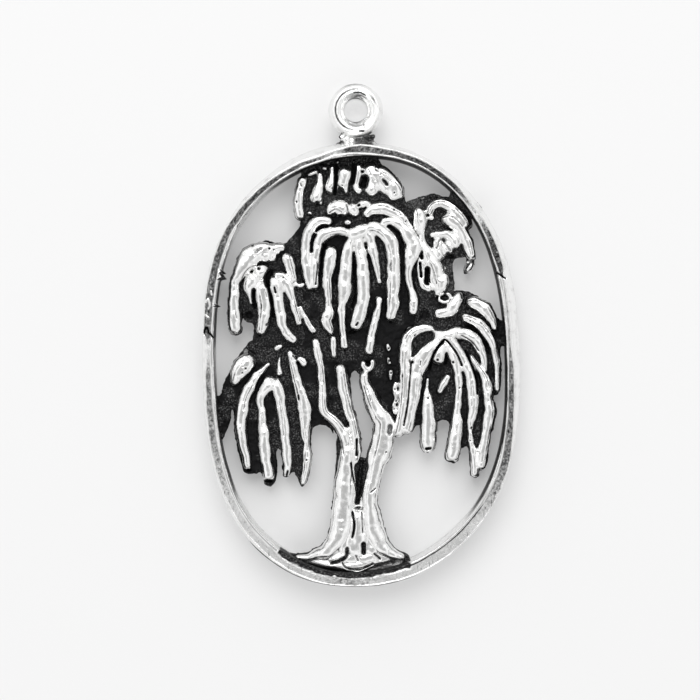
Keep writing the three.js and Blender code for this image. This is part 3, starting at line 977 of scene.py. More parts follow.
@dataclass
class Rim:
    """The upright oval rim: a bevelled outer edge, a sandy channel and a thin bright inner ridge.

    Waves are rows of waves in a turn, size, and bearing in degrees. Places along the rim are in
    forty-eighths, as a stop's, and spurs are rows of place, height and half length. A pair named
    rule is a share at no sand, or at the foot of a wall, and what full sand or height adds to it. A
    fine line is picked out just inside the channel.
    """

    TURN: ClassVar[float] = 48.0

    half_width: float = 12.6
    half_height: float = 17.6
    middle: float = -2.45
    squareness: float = 2.3
    band: float = 1.0
    outer_ease: float = 0.085
    waves: tuple[Triple, ...] = ((4, 0.08, -98), (6, 0.075, -169))
    outer_waves: tuple[Triple, ...] = ((1, 0.108, -152), (2, 0.065, 14), (3, 0.094, -6), (5, 0.036, 77))
    inner_waves: tuple[Triple, ...] = ((1, 0.09, 142), (2, 0.1, -3), (3, 0.035, -29), (5, 0.034, -45))
    height: float = Layer.RIM.value
    bevel_least: float = 0.16
    bevel_drop: float = 0.9
    channel_depth: float = 0.16
    channel_start: Span = (-0.05, 0.07)
    channel_end: Span = (0.05, -0.06)
    channel_rule: Span = (0.35, 0.65)
    channel_tone_rule: Span = (0.28, 0.5)
    waver: Bumps = Bumps(0.35, 0.025, 9, 1)
    picked_place: float = 0.17
    picked_width: float = 0.03
    picked_depth: float = 0.09
    picked_sand: Span = (0.3, 0.7)
    picked_tone: float = 0.7
    ridge_height: float = 0.03
    ridge_start: Span = (-0.03, 0.06)
    ridge_end: float = 0.14
    corner_width: float = 0.1
    corner_drop: float = 0.22
    corner_power: float = 1.5
    edge_width: float = 0.05
    edge_tone: float = 0.9
    bright_width: float = 0.12
    outer_wall: tuple[float, ...] = (0.0, 0.3, 0.6, 0.85)
    outer_dark: float = 0.3
    inner_wall: tuple[float, ...] = (0.8, 0.5, 0.2, 0.0)
    wall_rule: Span = (0.3, 2.0)
    lumps: Bumps = Bumps(1.3, 0.03)
    lumps_span: Span = (1.2, 2.2)
    grit: Bumps = Bumps(0.14, 0.03, 3)
    specks: Bumps = Bumps(0.13, 0.3, 5)
    sand_span: Span = (2.5, 2.7)
    steps: int = 1360
    across: int = 30
    seed: int = 7
    stops: tuple[Stop, ...] = (
        Stop(0.0, 0.26, 0.84, 0.7), Stop(1.0, 0.5, 0.94, 0.75), Stop(3.0, 0.54, 0.94, 0.85),
        Stop(4.3, 0.58, 0.95, 0.9), Stop(5.2, 0.68, 0.9, 0.4), Stop(5.8, 0.62, 0.88, 0.25),
        Stop(6.4, 0.5, 0.94, 0.7), Stop(7.5, 0.44, 0.94, 0.85, 0.12), Stop(8.2, 0.46, 0.84, 0.9, 0.12),
        Stop(8.5, 0.6, 0.72, 0.4, 0.12), Stop(11.0, 0.6, 0.76, 0.5), Stop(12.2, 0.42, 0.8, 0.65),
        Stop(14.0, 0.34, 0.8, 0.72), Stop(16.0, 0.12, 0.74, 0.68, 0.15),
        Stop(17.5, 0.1, 0.82, 0.42, 0.15, 0.9), Stop(19.0, 0.14, 0.95, 0.12, 0.18, 0.25),
        Stop(22.0, 0.24, 1.06, 0.1, 0.22, 0.15), Stop(23.5, 0.2, 0.92, 0.3, 0.15, 0.8),
        Stop(24.5, 0.12, 0.74, 0.5, 0.08), Stop(25.5, 0.08, 0.72, 0.28, 0.05),
        Stop(28.0, 0.0, 0.6, 0.12, 0.0, 0.3), Stop(30.3, 0.02, 0.56, 0.2, 0.02, 0.35),
        Stop(31.4, 0.04, 0.56, 0.42, 0.1, 0.9), Stop(34.0, 0.1, 0.6, 0.6, 0.1, 0.8),
        Stop(35.6, 0.18, 0.54, 0.6, 0.08, 0.5), Stop(36.6, 0.4, 0.52, 0.12, 0.06, 0.5),
        Stop(37.2, 0.05, 0.6, 0.66, 0.04, 0.9), Stop(39.0, -0.02, 0.6, 0.74, 0.04, 0.8),
        Stop(41.5, 0.06, 0.55, 0.76, 0.04, 0.3), Stop(43.5, 0.32, 0.7, 0.8, 0.06, 0.4),
        Stop(45.0, 0.52, 0.84, 0.8, 0.14), Stop(46.3, 0.7, 0.96, 0.7, 0.2),
        Stop(46.9, 0.55, 0.82, 0.3, 0.16), Stop(47.5, 0.38, 0.8, 0.8, 0.12),
    )
    # Painted shade: a dark line along the outer edge at the foot, where the floor's shadow meets the rim.
    hairline: Span = (21.3, 29.3)
    foot_shade_edge: Span = (0.18, 0.1)
    foot_shade_tone: float = 0.9
    crease: Span = (17.2, 23.2)
    crease_edge: Span = (0.1, 0.03)
    crease_tone: float = 0.8
    spurs: tuple[Triple, ...] = ((38.4, 0.42, 0.09), (39.6, 0.6, 0.2), (39.8, 0.5, 0.1))
    spur_tone: float = 4.0
    spur_root: float = 0.7
    marks: tuple[Groove, ...] = (
        Groove([(11.45, 4.4), (11.15, 4.6), (10.8, 4.85)], 0.12, 0.3),
        Groove([(-11.75, -0.3), (-11.9, -0.05), (-12.1, 0.1), (-12.2, 0.5), (-12.4, 0.35), (-12.45, 0.05)],
            0.12, 0.3),
        Groove([(-12.3, 2.5), (-12.15, 2.75), (-12.0, 2.3), (-12.1, 2.0)], 0.12, -0.06, -1.0),
        Groove([(-11.9, 3.4), (-11.85, 3.1)], 0.1, -0.05, -1.0),
        Groove([(-12.35, 1.5), (-12.1, 1.3)], 0.1, -0.05, -1.0),
        Groove([(3.7, -18.35), (1.9, -18.78), (0.0, -19.15), (-1.9, -19.02), (-3.75, -18.65), (-5.5, -17.88),
            (-6.35, -17.3)], 0.44, 0.12, 0.85),
    )

    def edge(self, angle: Array, out: float, waves: tuple[Triple, ...]) -> Array:
        """Points on the hand-made oval.

        Args:
            angle: Bearings in radians, from +x towards +y.
            out: Distance outside the plain oval.
            waves: More waves, of that edge alone.

        Returns:
            An N by 2 array.
        """
        power = 2.0 / self.squareness
        c, s = np.cos(angle), np.sin(angle)
        swell = np.full(len(angle), out)
        for order, size, bearing in (*self.waves, *waves):
            swell += size * np.cos(order * angle - math.radians(bearing))
        x = np.sign(c) * self.half_width * np.abs(c) ** power + swell * c
        y = self.middle + np.sign(s) * self.half_height * np.abs(s) ** power + swell * s
        return np.stack([x, y], axis=1)

    def _even_angles(self) -> tuple[Array, Array]:
        """Bearings an even distance apart, clockwise from the top, and their forty-eighths."""
        fine = np.linspace(0.0, 2.0 * np.pi, 20001)
        points = self.edge(np.pi / 2 - fine, 0.0, ())
        steps = np.linalg.norm(np.diff(points, axis=0), axis=1)
        run = np.concatenate([[0.0], np.cumsum(steps)])
        wanted = np.linspace(0.0, run[-1], self.steps, endpoint=False)
        return np.pi / 2 - np.interp(wanted, run, fine), wanted / run[-1] * self.TURN

    def build(self) -> bpy.types.Object:
        """Make the rim.

        Returns:
            The finished object.
        """
        angle, at = self._even_angles()
        outer = self.edge(angle, self.outer_ease, self.outer_waves)
        inner = self.edge(angle, self.outer_ease - self.band, self.inner_waves)
        width = np.linalg.norm(outer - inner, axis=1)
        inwards = (inner - outer) / width[:, None]
        lead = ((outer - self.edge(angle, 0.0, ())) * -inwards).sum(axis=1)
        band = self._band(at, width, lead)
        share = np.linspace(0.0, 1.0, self.across)[None, :]
        depth = band.width * share
        top, patina_and_shade = self._face(band, depth)
        patina_and_shade = self._line_out(band, depth, share, patina_and_shade)
        places = outer[:, None, :] + inwards[:, None, :] * depth[..., None]
        face = np.concatenate([places, top[..., None]], axis=2)

        draft = inwards * band.spur
        inner_side = self._wall(face[:, -1], self.inner_wall, band.wall, draft)
        outer_side = self._wall(face[:, 0], self.outer_wall, self.outer_dark + 0.0 * band.wall, 0.0 * draft)
        rings = np.concatenate([face, inner_side[0], outer_side[0]], axis=1)
        patina_and_shade = np.concatenate([patina_and_shade, inner_side[1], outer_side[1]], axis=1)
        casting = Casting(rings.reshape(-1, 3), closed_band(rings), patina_and_shade.ravel())
        self._roughen(casting)
        for mark in self.marks:
            casting.cut(mark, self.seed)
        return casting.to_object("rim_casting", POLISHED, ["rim"])

    def _band(self, at: Array, width: Array, lead: Array) -> Band:
        """The band's values at every step, eased between its stops.

        Args:
            at: The steps' places in forty-eighths.
            width: The band's width without its reach and its spurs.
            lead: How far the outer edge stands outside the plain oval.

        Returns:
            The values.
        """
        places = [stop.at for stop in self.stops]
        start, end, sand, reach, wall = (
            np.interp(at, places, [getattr(stop, key) for stop in self.stops], period=self.TURN)
            for key in ("start", "end", "sand", "reach", "wall")
        )
        spur = np.zeros(self.steps)
        for place, tall, wide in self.spurs:
            spur = np.maximum(spur, tall * np.clip(1.0 - np.abs(at - place) / wide, 0.0, 1.0))
        waver = self.waver.over(np.stack([at, 0 * at, 0 * at], axis=1), self.seed)
        columns = (at, start + waver + lead, end + waver + lead, sand, wall, width + reach + spur, spur)
        return Band(*(column[:, None] for column in columns))

    def _face(self, band: Band, depth: Array) -> tuple[Array, Array]:
        """Heights and patina across the band.

        Args:
            band: The band.
            depth: Distance in from the outer edge, steps by points.

        Returns:
            The heights and the patina, steps by points.
        """
        start = np.maximum(band.start, self.bevel_least)
        end, width, sand = band.end, band.width, band.sand
        rise = np.clip(depth / start, 0.0, 1.0)
        top = self.height - self.bevel_drop * (1.0 - np.sin(rise * np.pi / 2)) - self.ridge_height
        channel = smooth_step(depth, *(start + shift for shift in self.channel_start))
        channel = channel * smooth_step(depth, *(end + shift for shift in self.channel_end))
        least, more = self.channel_rule
        top = top - self.channel_depth * channel * (least + more * sand)
        picked = hump(depth - end, self.picked_place, self.picked_width)
        picked = picked * smooth_step(sand, *self.picked_sand)
        ridge = smooth_step(depth, *(end + shift for shift in self.ridge_start))
        ridge = ridge * smooth_step(depth, width, width - self.ridge_end)
        top = top + self.ridge_height * ridge - self.picked_depth * picked
        corner = smooth_step(depth, width - self.corner_width, width)
        top = top - self.corner_drop * corner**self.corner_power
        least, more = self.channel_tone_rule
        patina_and_shade = channel * (least + more * sand) + picked * self.picked_tone
        patina_and_shade = patina_and_shade + smooth_step(depth, width - self.edge_width, width) * self.edge_tone
        return top, np.clip(patina_and_shade, 0.0, 1.0)

    def _line_out(self, band: Band, depth: Array, share: Array, patina_and_shade: Array) -> Array:
        """Paint shade along the outer edge at the foot, darken the crease and the spurs, and clear the
        bright inner edge.

        Args:
            band: The band.
            depth: Distance in from the outer edge, steps by points.
            share: The same as a share of the band's width.
            patina_and_shade: The oxide and painted shade so far.

        Returns:
            The new oxide and painted shade.
        """
        # Painted shade along the outer edge at the foot.
        foot_shade = plateau(band.at, self.hairline, 1.0) * smooth_step(depth, *self.foot_shade_edge)
        beside = smooth_step(np.abs(depth - band.end), *self.crease_edge)
        creased = plateau(band.at, self.crease, 1.2) * beside
        patina_and_shade = np.maximum(patina_and_shade, foot_shade * self.foot_shade_tone)
        patina_and_shade = np.maximum(patina_and_shade, creased * self.crease_tone)
        patina_and_shade = patina_and_shade * np.where(depth > band.width - self.bright_width, band.wall, 1.0)
        spur = np.clip(band.spur * self.spur_tone, 0.0, 1.0) * (share > self.spur_root)
        return np.maximum(patina_and_shade, spur)

    def _wall(
        self, edge: Array, heights: tuple[float, ...], dark: Array, draft: Array
    ) -> tuple[Array, Array]:
        """One side of the rim, from an edge of its face.

        Args:
            edge: The face's edge, steps by 3.
            heights: The height of each row of points, as a share of the edge's.
            dark: How black the wall is, steps by 1.
            draft: How far the wall's foot stands back from the edge, steps by 2.

        Returns:
            The rows' points, steps by rows by 3, and their patina, steps by rows.
        """
        part = np.array(heights)
        places = edge[:, None, :2] - draft[:, None, :] * (1.0 - part)[None, :, None]
        points = np.concatenate([places, edge[:, None, 2:] * part[None, :, None]], axis=2)
        least, more = self.wall_rule
        return points, dark * np.minimum(1.0, part * more + least)[None, :]

    def _roughen(self, casting: Casting) -> None:
        """Add the hand-filed waver of the faces and the sand in the channel."""
        places = casting.vertices
        face = smooth_step(places[:, 2], *self.lumps_span)
        sand = np.clip(casting.patina_and_shade, 0.0, 1.0) * smooth_step(places[:, 2], *self.sand_span)
        grit = self.grit.over(places, self.seed) * sand
        casting.push((self.lumps.over(places, self.seed) + grit) * face)
        casting.patina_and_shade = casting.patina_and_shade + self.specks.over(places, self.seed) * sand


@dataclass
class HangingRing:
    """The round hanging ring: a rounded outer band, a thin groove, and a cone down to its hole.

    Radii and heights are millimetres. Walls are rows of radius and height, from the outer edge in
    under the ring and up through its hole. The groove is deepest away from +x, and once more at its
    nick, which is a bearing in degrees, a spread in radians and a strength.
    """

    x: float = -0.42
    y: float = 17.85
    outer_radius: float = 2.2
    hole_radius: float = 0.9
    height: float = Layer.RING.value
    brim_width: float = 0.5
    brim_drop: float = 0.9
    lip_width: float = 0.09
    lip_drop: float = 0.18
    cone_radius: float = 1.5
    cone_width: float = 0.57
    cone_drop: float = 0.36
    cone_power: float = 1.3
    groove_radius: float = 1.62
    groove_width: float = 0.06
    groove_depth: float = 0.16
    groove_tone: float = 0.75
    groove_rule: Span = (0.3, 0.7)
    groove_turn: float = 0.35
    nick: Triple = (30.0, 0.3, 0.6)
    bead_radius: float = 1.27
    bead_width: float = 0.16
    bead_height: float = 0.06
    # Painted shade: the spans and tones of the lip, cone and brim grey the polished ring where it shows grey
    # reflections.
    lip_shade_span: Span = (1.02, 0.93)
    lip_shade_tone: float = 0.15
    cone_shade_span: Span = (1.56, 1.36)
    brim_shade_span: Span = (1.9, 2.08)
    brim_shade_turn: float = 1.9
    painted_shade_tone: float = 0.5
    walls: tuple[Span, ...] = (
        (2.2, 1.34), (2.16, 1.22), (2.0, 1.12), (1.75, 1.06),
        (1.4, 1.06), (1.15, 1.14), (0.98, 1.3), (0.92, 1.5), (0.92, 1.74),
    )
    lumps: Bumps = Bumps(0.9, 0.035)
    lumps_span: Span = (0.8, 1.6)
    filed: float = 0.02
    steps: int = 260
    across: int = 34
    seed: int = 31
    # Painted shade: the darkened marks at the right of the hole, below it and along the top of the outer
    # band paint the grey the polished ring shows there; the others are dark crescents above the hole and a
    # pit below it.
    marks: tuple[Groove, ...] = (
        Groove([(-0.55, 19.2), (-0.1, 19.22), (0.35, 19.0)], 0.1, 0.1, 0.75),
        Groove([(-0.35, 18.98), (0.05, 18.98), (0.4, 18.72)], 0.09, 0.08, 0.6),
        Groove([(0.62, 18.2), (0.75, 17.8), (0.62, 17.35)], 0.12, 0.06, 0.3),
        Groove([(-0.1, 16.15), (0.2, 16.15)], 0.12, 0.15),
        Groove([(-0.55, 18.85), (-0.2, 18.95), (0.1, 18.75)], 0.1, 0.08, 0.6),
        Groove([(-0.9, 16.8), (-0.4, 16.6), (0.1, 16.7)], 0.14, 0.06, 0.4),
        Groove([(-1.5, 19.7), (-0.4, 19.98), (0.7, 19.7)], 0.08, 0.05, 0.45),
    )

    def build(self) -> bpy.types.Object:
        """Make the ring.

        Returns:
            The finished object.
        """
        angle = np.linspace(0.0, 2.0 * np.pi, self.steps, endpoint=False)[:, None]
        share = np.linspace(0.0, 1.0, self.across)[None, :]
        radius = self.hole_radius + (self.outer_radius - self.hole_radius) * share
        top, patina_and_shade = self._face(angle, radius)
        wall_radius, wall_height = np.array(self.walls).T[:, None, :]
        radius = np.concatenate([radius, wall_radius], axis=1)
        height = np.concatenate([top, wall_height + 0.0 * angle], axis=1)
        patina_and_shade = np.concatenate([patina_and_shade, 0.0 * (wall_height + angle)], axis=1)
        rings = np.stack([radius * np.cos(angle), radius * np.sin(angle), height], axis=2)
        faces = closed_band(rings - [0.0, 0.0, self.height / 2.0])
        casting = Casting((rings + [self.x, self.y, 0.0]).reshape(-1, 3), faces, patina_and_shade.ravel())
        places = casting.vertices
        lumps = self.lumps.over(places, self.seed) - self.filed
        casting.push(lumps * smooth_step(places[:, 2], *self.lumps_span))
        for mark in self.marks:
            casting.cut(mark, self.seed)
        return casting.to_object("hanging_ring_casting", POLISHED, ["hanging_ring"])

    def _face(self, angle: Array, radius: Array) -> tuple[Array, Array]:
        """Heights of the ring's face, and its oxide and painted shade.

        Args:
            angle: Bearings from the ring's middle, steps by 1.
            radius: Distances from it, 1 by points.

        Returns:
            The heights, and the oxide and painted shade, steps by points.
        """
        lip = quarter_round((radius - self.hole_radius) / self.lip_width)
        cone = np.clip((self.cone_radius - radius) / self.cone_width, 0, 1) ** self.cone_power
        brim = quarter_round((self.outer_radius - radius) / self.brim_width)
        top = self.height - self.lip_drop * (1.0 - lip) - self.cone_drop * cone
        top = top - self.brim_drop * (1.0 - brim)
        (least, more), (bearing, spread, extra) = self.groove_rule, self.nick
        strength = least + more * np.clip(self.groove_turn - np.cos(angle), 0.0, 1.0)
        strength = strength + extra * hump(angle, math.radians(bearing), spread)
        groove = hump(radius, self.groove_radius, self.groove_width) * strength
        bead = hump(radius, self.bead_radius, self.bead_width)
        top = top - self.groove_depth * groove - self.bead_height + self.bead_height * bead

        # Painted shade: grey on the lip of the hole, and on the cone above and below the hole.
        patina_and_shade = groove * self.groove_tone + smooth_step(radius, *self.lip_shade_span) * self.lip_shade_tone
        patina_and_shade = patina_and_shade + self.painted_shade_tone * smooth_step(radius, *self.cone_shade_span) * np.sin(angle) ** 2
        # Painted shade: a grey arc on the rounded outer band above and below the hole.
        facing = np.clip(np.sin(2.0 * angle - self.brim_shade_turn), 0.0, 1.0)
        patina_and_shade = patina_and_shade + self.painted_shade_tone * smooth_step(radius, *self.brim_shade_span) * facing
        return top, np.clip(patina_and_shade, 0.0, 1.0)


# The tree's parts, from its crown to its roots


def ring_neck() -> Foliage:
    """The waisted neck: two polished cheeks with a sandy hollow between them."""
    return Foliage("ring_neck_casting", ["ring_neck"],
        seed=3, sheet_height=1.72, shoulder=1.2, finish=POLISHED, sheet=[
        (-1.7, 15.95), (-1.5, 15.6), (-1.9, 14.9), (1.25, 14.9), (0.92, 15.6), (1.1, 15.95),
    ], ridges=[
        Ridge([(-1.35, 15.9), (-1.2, 15.6), (-1.4, 15.0)], (0.7, 0.6, 0.8)),
        Ridge([(-0.8, 15.85), (-0.7, 15.1)], (0.55, 0.6), lift=-0.05),
        Ridge([(1.0, 15.85), (0.85, 15.6), (1.05, 15.0)], (0.26, 0.22, 0.3), lift=-0.3),
    ], grooves=[
        Groove([(-1.45, 15.75), (-1.3, 15.3)], 0.4, 0.0, -0.95),
        Groove([(-1.62, 15.36), (-1.42, 15.3)], 0.12, 0.2, 0.6),
        Groove([(-0.3, 15.5), (0.3, 15.52), (0.85, 15.48)], 0.32, 0.12, 0.66),
    ])


def crown_top() -> Foliage:
    """The cap of short fronds under the top of the rim."""
    return Foliage("crown_top_fronds", ["crown_top"],
        black=0.86, seed=11, sheet=[
        (-4.7, 13.9), (-4.75, 12.8), (-5.05, 12.0), (-5.2, 11.0), (-5.1, 10.3), (-4.65, 9.2), (-3.2, 10.1),
        (0.0, 10.1), (3.3, 10.1), (3.5, 10.9), (3.1, 12.0), (2.4, 12.9), (1.4, 13.9), (1.2, 14.6),
        (-1.5, 14.8), (-3.6, 14.3),
    ], ridges=[
        Ridge([(-4.65, 12.6), (-4.7, 12.05), (-4.9, 11.25), (-4.95, 10.2), (-4.85, 9.1)],
            (0.55, 0.64, 0.64, 0.62, 0.55)),
        Ridge([(-4.3, 12.6), (-3.85, 12.85), (-3.4, 13.05)], (0.19, 0.24, 0.24), lift=-0.1),
        Ridge([(-3.3, 13.0), (-3.3, 12.3), (-3.45, 11.5), (-3.55, 10.85), (-3.55, 10.3)],
            (0.32, 0.44, 0.66, 0.86, 0.86)),
        Ridge([(-3.25, 10.5), (-3.05, 10.4)], (0.4, 0.35)),
        Ridge([(-2.95, 13.0), (-2.8, 13.4)], (0.36, 0.31), lift=-0.1),
        Ridge([(-2.3, 13.55), (-2.3, 13.0), (-2.4, 12.2), (-2.45, 11.6), (-2.55, 11.1)],
            (0.42, 0.38, 0.6, 0.76, 0.5)),
        Ridge([(-1.25, 13.45), (-1.25, 12.85), (-1.4, 12.2), (-1.45, 11.55)], (0.95, 0.95, 0.74, 0.72)),
        Ridge([(-1.3, 12.6), (-0.9, 12.5)], (0.6, 0.36)), Ridge([(-1.4, 11.8), (-0.85, 11.85)], (0.6, 0.43)),
        Ridge([(-1.5, 11.45), (-0.9, 11.55)], (0.6, 0.48)),
        Ridge([(-0.3, 13.7), (-0.15, 13.0), (-0.25, 12.35), (-0.4, 11.85), (-0.25, 11.5), (0.15, 11.4)],
            (0.5, 0.6, 0.5, 0.5, 0.5, 0.6)),
        Ridge([(0.15, 13.4), (0.7, 13.0), (1.05, 12.3), (0.85, 11.7), (0.2, 11.45)],
            (0.9, 1.1, 1.0, 1.0, 0.85)),
        Ridge([(0.8, 13.1), (1.55, 12.6), (2.3, 11.9), (2.85, 11.15), (3.1, 10.65)],
            (0.9, 1.3, 1.34, 1.1, 0.75)),
        Ridge([(1.4, 12.95), (2.15, 12.5), (2.85, 11.75), (3.25, 11.05)], (0.36, 0.46, 0.46, 0.4), lift=0.05,
            seam=0.5),
        Ridge([(-2.05, 13.8), (-1.75, 13.65)], (0.196, 0.224), lift=-0.12),
        Ridge([(-0.65, 13.9), (-0.5, 13.6)], (0.196, 0.252), lift=-0.12),
    ], grooves=[
        Groove([(0.1, 12.95)], 0.2, 0.35, 0.9), Groove([(1.55, 12.7)], 0.1, 0.2),
        Groove([(2.65, 11.25)], 0.12, 0.3), Groove([(-3.5, 10.45)], 0.24, 0.35, 0.9),
        Groove([(-3.9, 10.45), (-3.8, 10.85)], 0.07, 0.1, 0.6), Groove([(-2.3, 11.6)], 0.13, 0.25),
        Groove([(-1.5, 11.85)], 0.1, 0.25), Groove([(-4.85, 12.0), (-4.75, 11.8)], 0.13, 0.15, 0.6),
        Groove([(-5.15, 10.55)], 0.12, 0.3),
        Groove([(1.15, 13.1), (1.7, 12.7), (2.5, 12.05)], 0.07, 0.08, 0.6),
        Groove([(0.75, 12.7), (1.15, 12.2)], 0.07, 0.08, 0.5),
        Groove([(1.8, 12.25), (2.05, 11.95)], 0.26, 0.3, 0.8),
        Groove([(0.2, 11.95), (0.3, 12.35)], 0.5, 0.9),
        Groove([(-0.55, 13.5), (-0.6, 12.7), (-0.7, 12.1)], 0.28, 0.9),
        Groove([(-2.0, 13.5), (-2.0, 12.7), (-2.05, 11.9), (-2.1, 11.25)], 0.24, 0.9),
        Groove([(0.55, 13.1), (0.85, 12.6)], 0.07, 0.08, 0.6),
    ])


def crown_middle() -> Foliage:
    """The second tier: short arched fronds between the cap and the long falls."""
    return Foliage("crown_middle_fronds", ["crown_middle"],
        black=0.88, seed=12, sheet_height=1.46, sheet=[
        (-3.6, 10.3), (-4.7, 9.2), (-4.2, 8.5), (-2.2, 8.6), (0.2, 8.4), (1.6, 8.7), (3.0, 8.6), (4.1, 7.7),
        (4.45, 9.4), (3.55, 10.5), (1.0, 10.6), (-1.5, 10.6),
    ], ridges=[
        Ridge([(-2.75, 9.55), (-2.4, 9.9), (-1.95, 10.15), (-1.5, 9.95), (-1.15, 9.4)],
            (0.32, 0.66, 1.0, 1.08, 0.5), seam=-0.4),
        Ridge([(-0.95, 10.35), (-0.7, 10.05), (-0.5, 9.7), (-0.35, 9.35)], (0.85, 0.85, 0.6, 0.28)),
        Ridge([(-0.25, 10.25), (0.25, 10.4), (0.85, 10.25)], (0.55, 0.5, 0.25)),
        Ridge([(0.25, 9.3), (0.75, 9.8), (1.55, 10.05), (2.3, 9.85), (3.05, 9.5), (3.55, 8.85), (4.05, 7.8)],
            (0.4, 0.68, 0.77, 0.73, 0.66, 0.59, 0.55), seam=0.5),
        Ridge([(2.35, 10.1), (2.9, 9.75), (3.4, 9.3), (3.75, 8.6)], (0.22, 0.26, 0.26, 0.24), lift=-0.22),
        Ridge([(-1.4, 8.9), (-1.05, 8.95), (-0.7, 8.9)], (0.22, 0.33, 0.22), lift=-0.12),
        Ridge([(-4.15, 9.9), (-4.15, 9.45)], (0.34, 0.42), lift=-0.02),
    ], grooves=[
        Groove([(-0.15, 10.3)], 0.17, 0.4), Groove([(0.35, 10.1)], 0.1, 0.25),
        Groove([(-1.15, 10.3), (-1.05, 9.85), (-1.0, 9.4)], 0.08, 0.25, 0.85),
        Groove([(-2.3, 10.05), (-1.9, 10.15)], 0.08, 0.1, 0.5), Groove([(2.65, 9.9)], 0.1, 0.2),
        Groove([(3.15, 9.5)], 0.1, 0.2), Groove([(3.55, 8.95)], 0.1, 0.2),
    ])


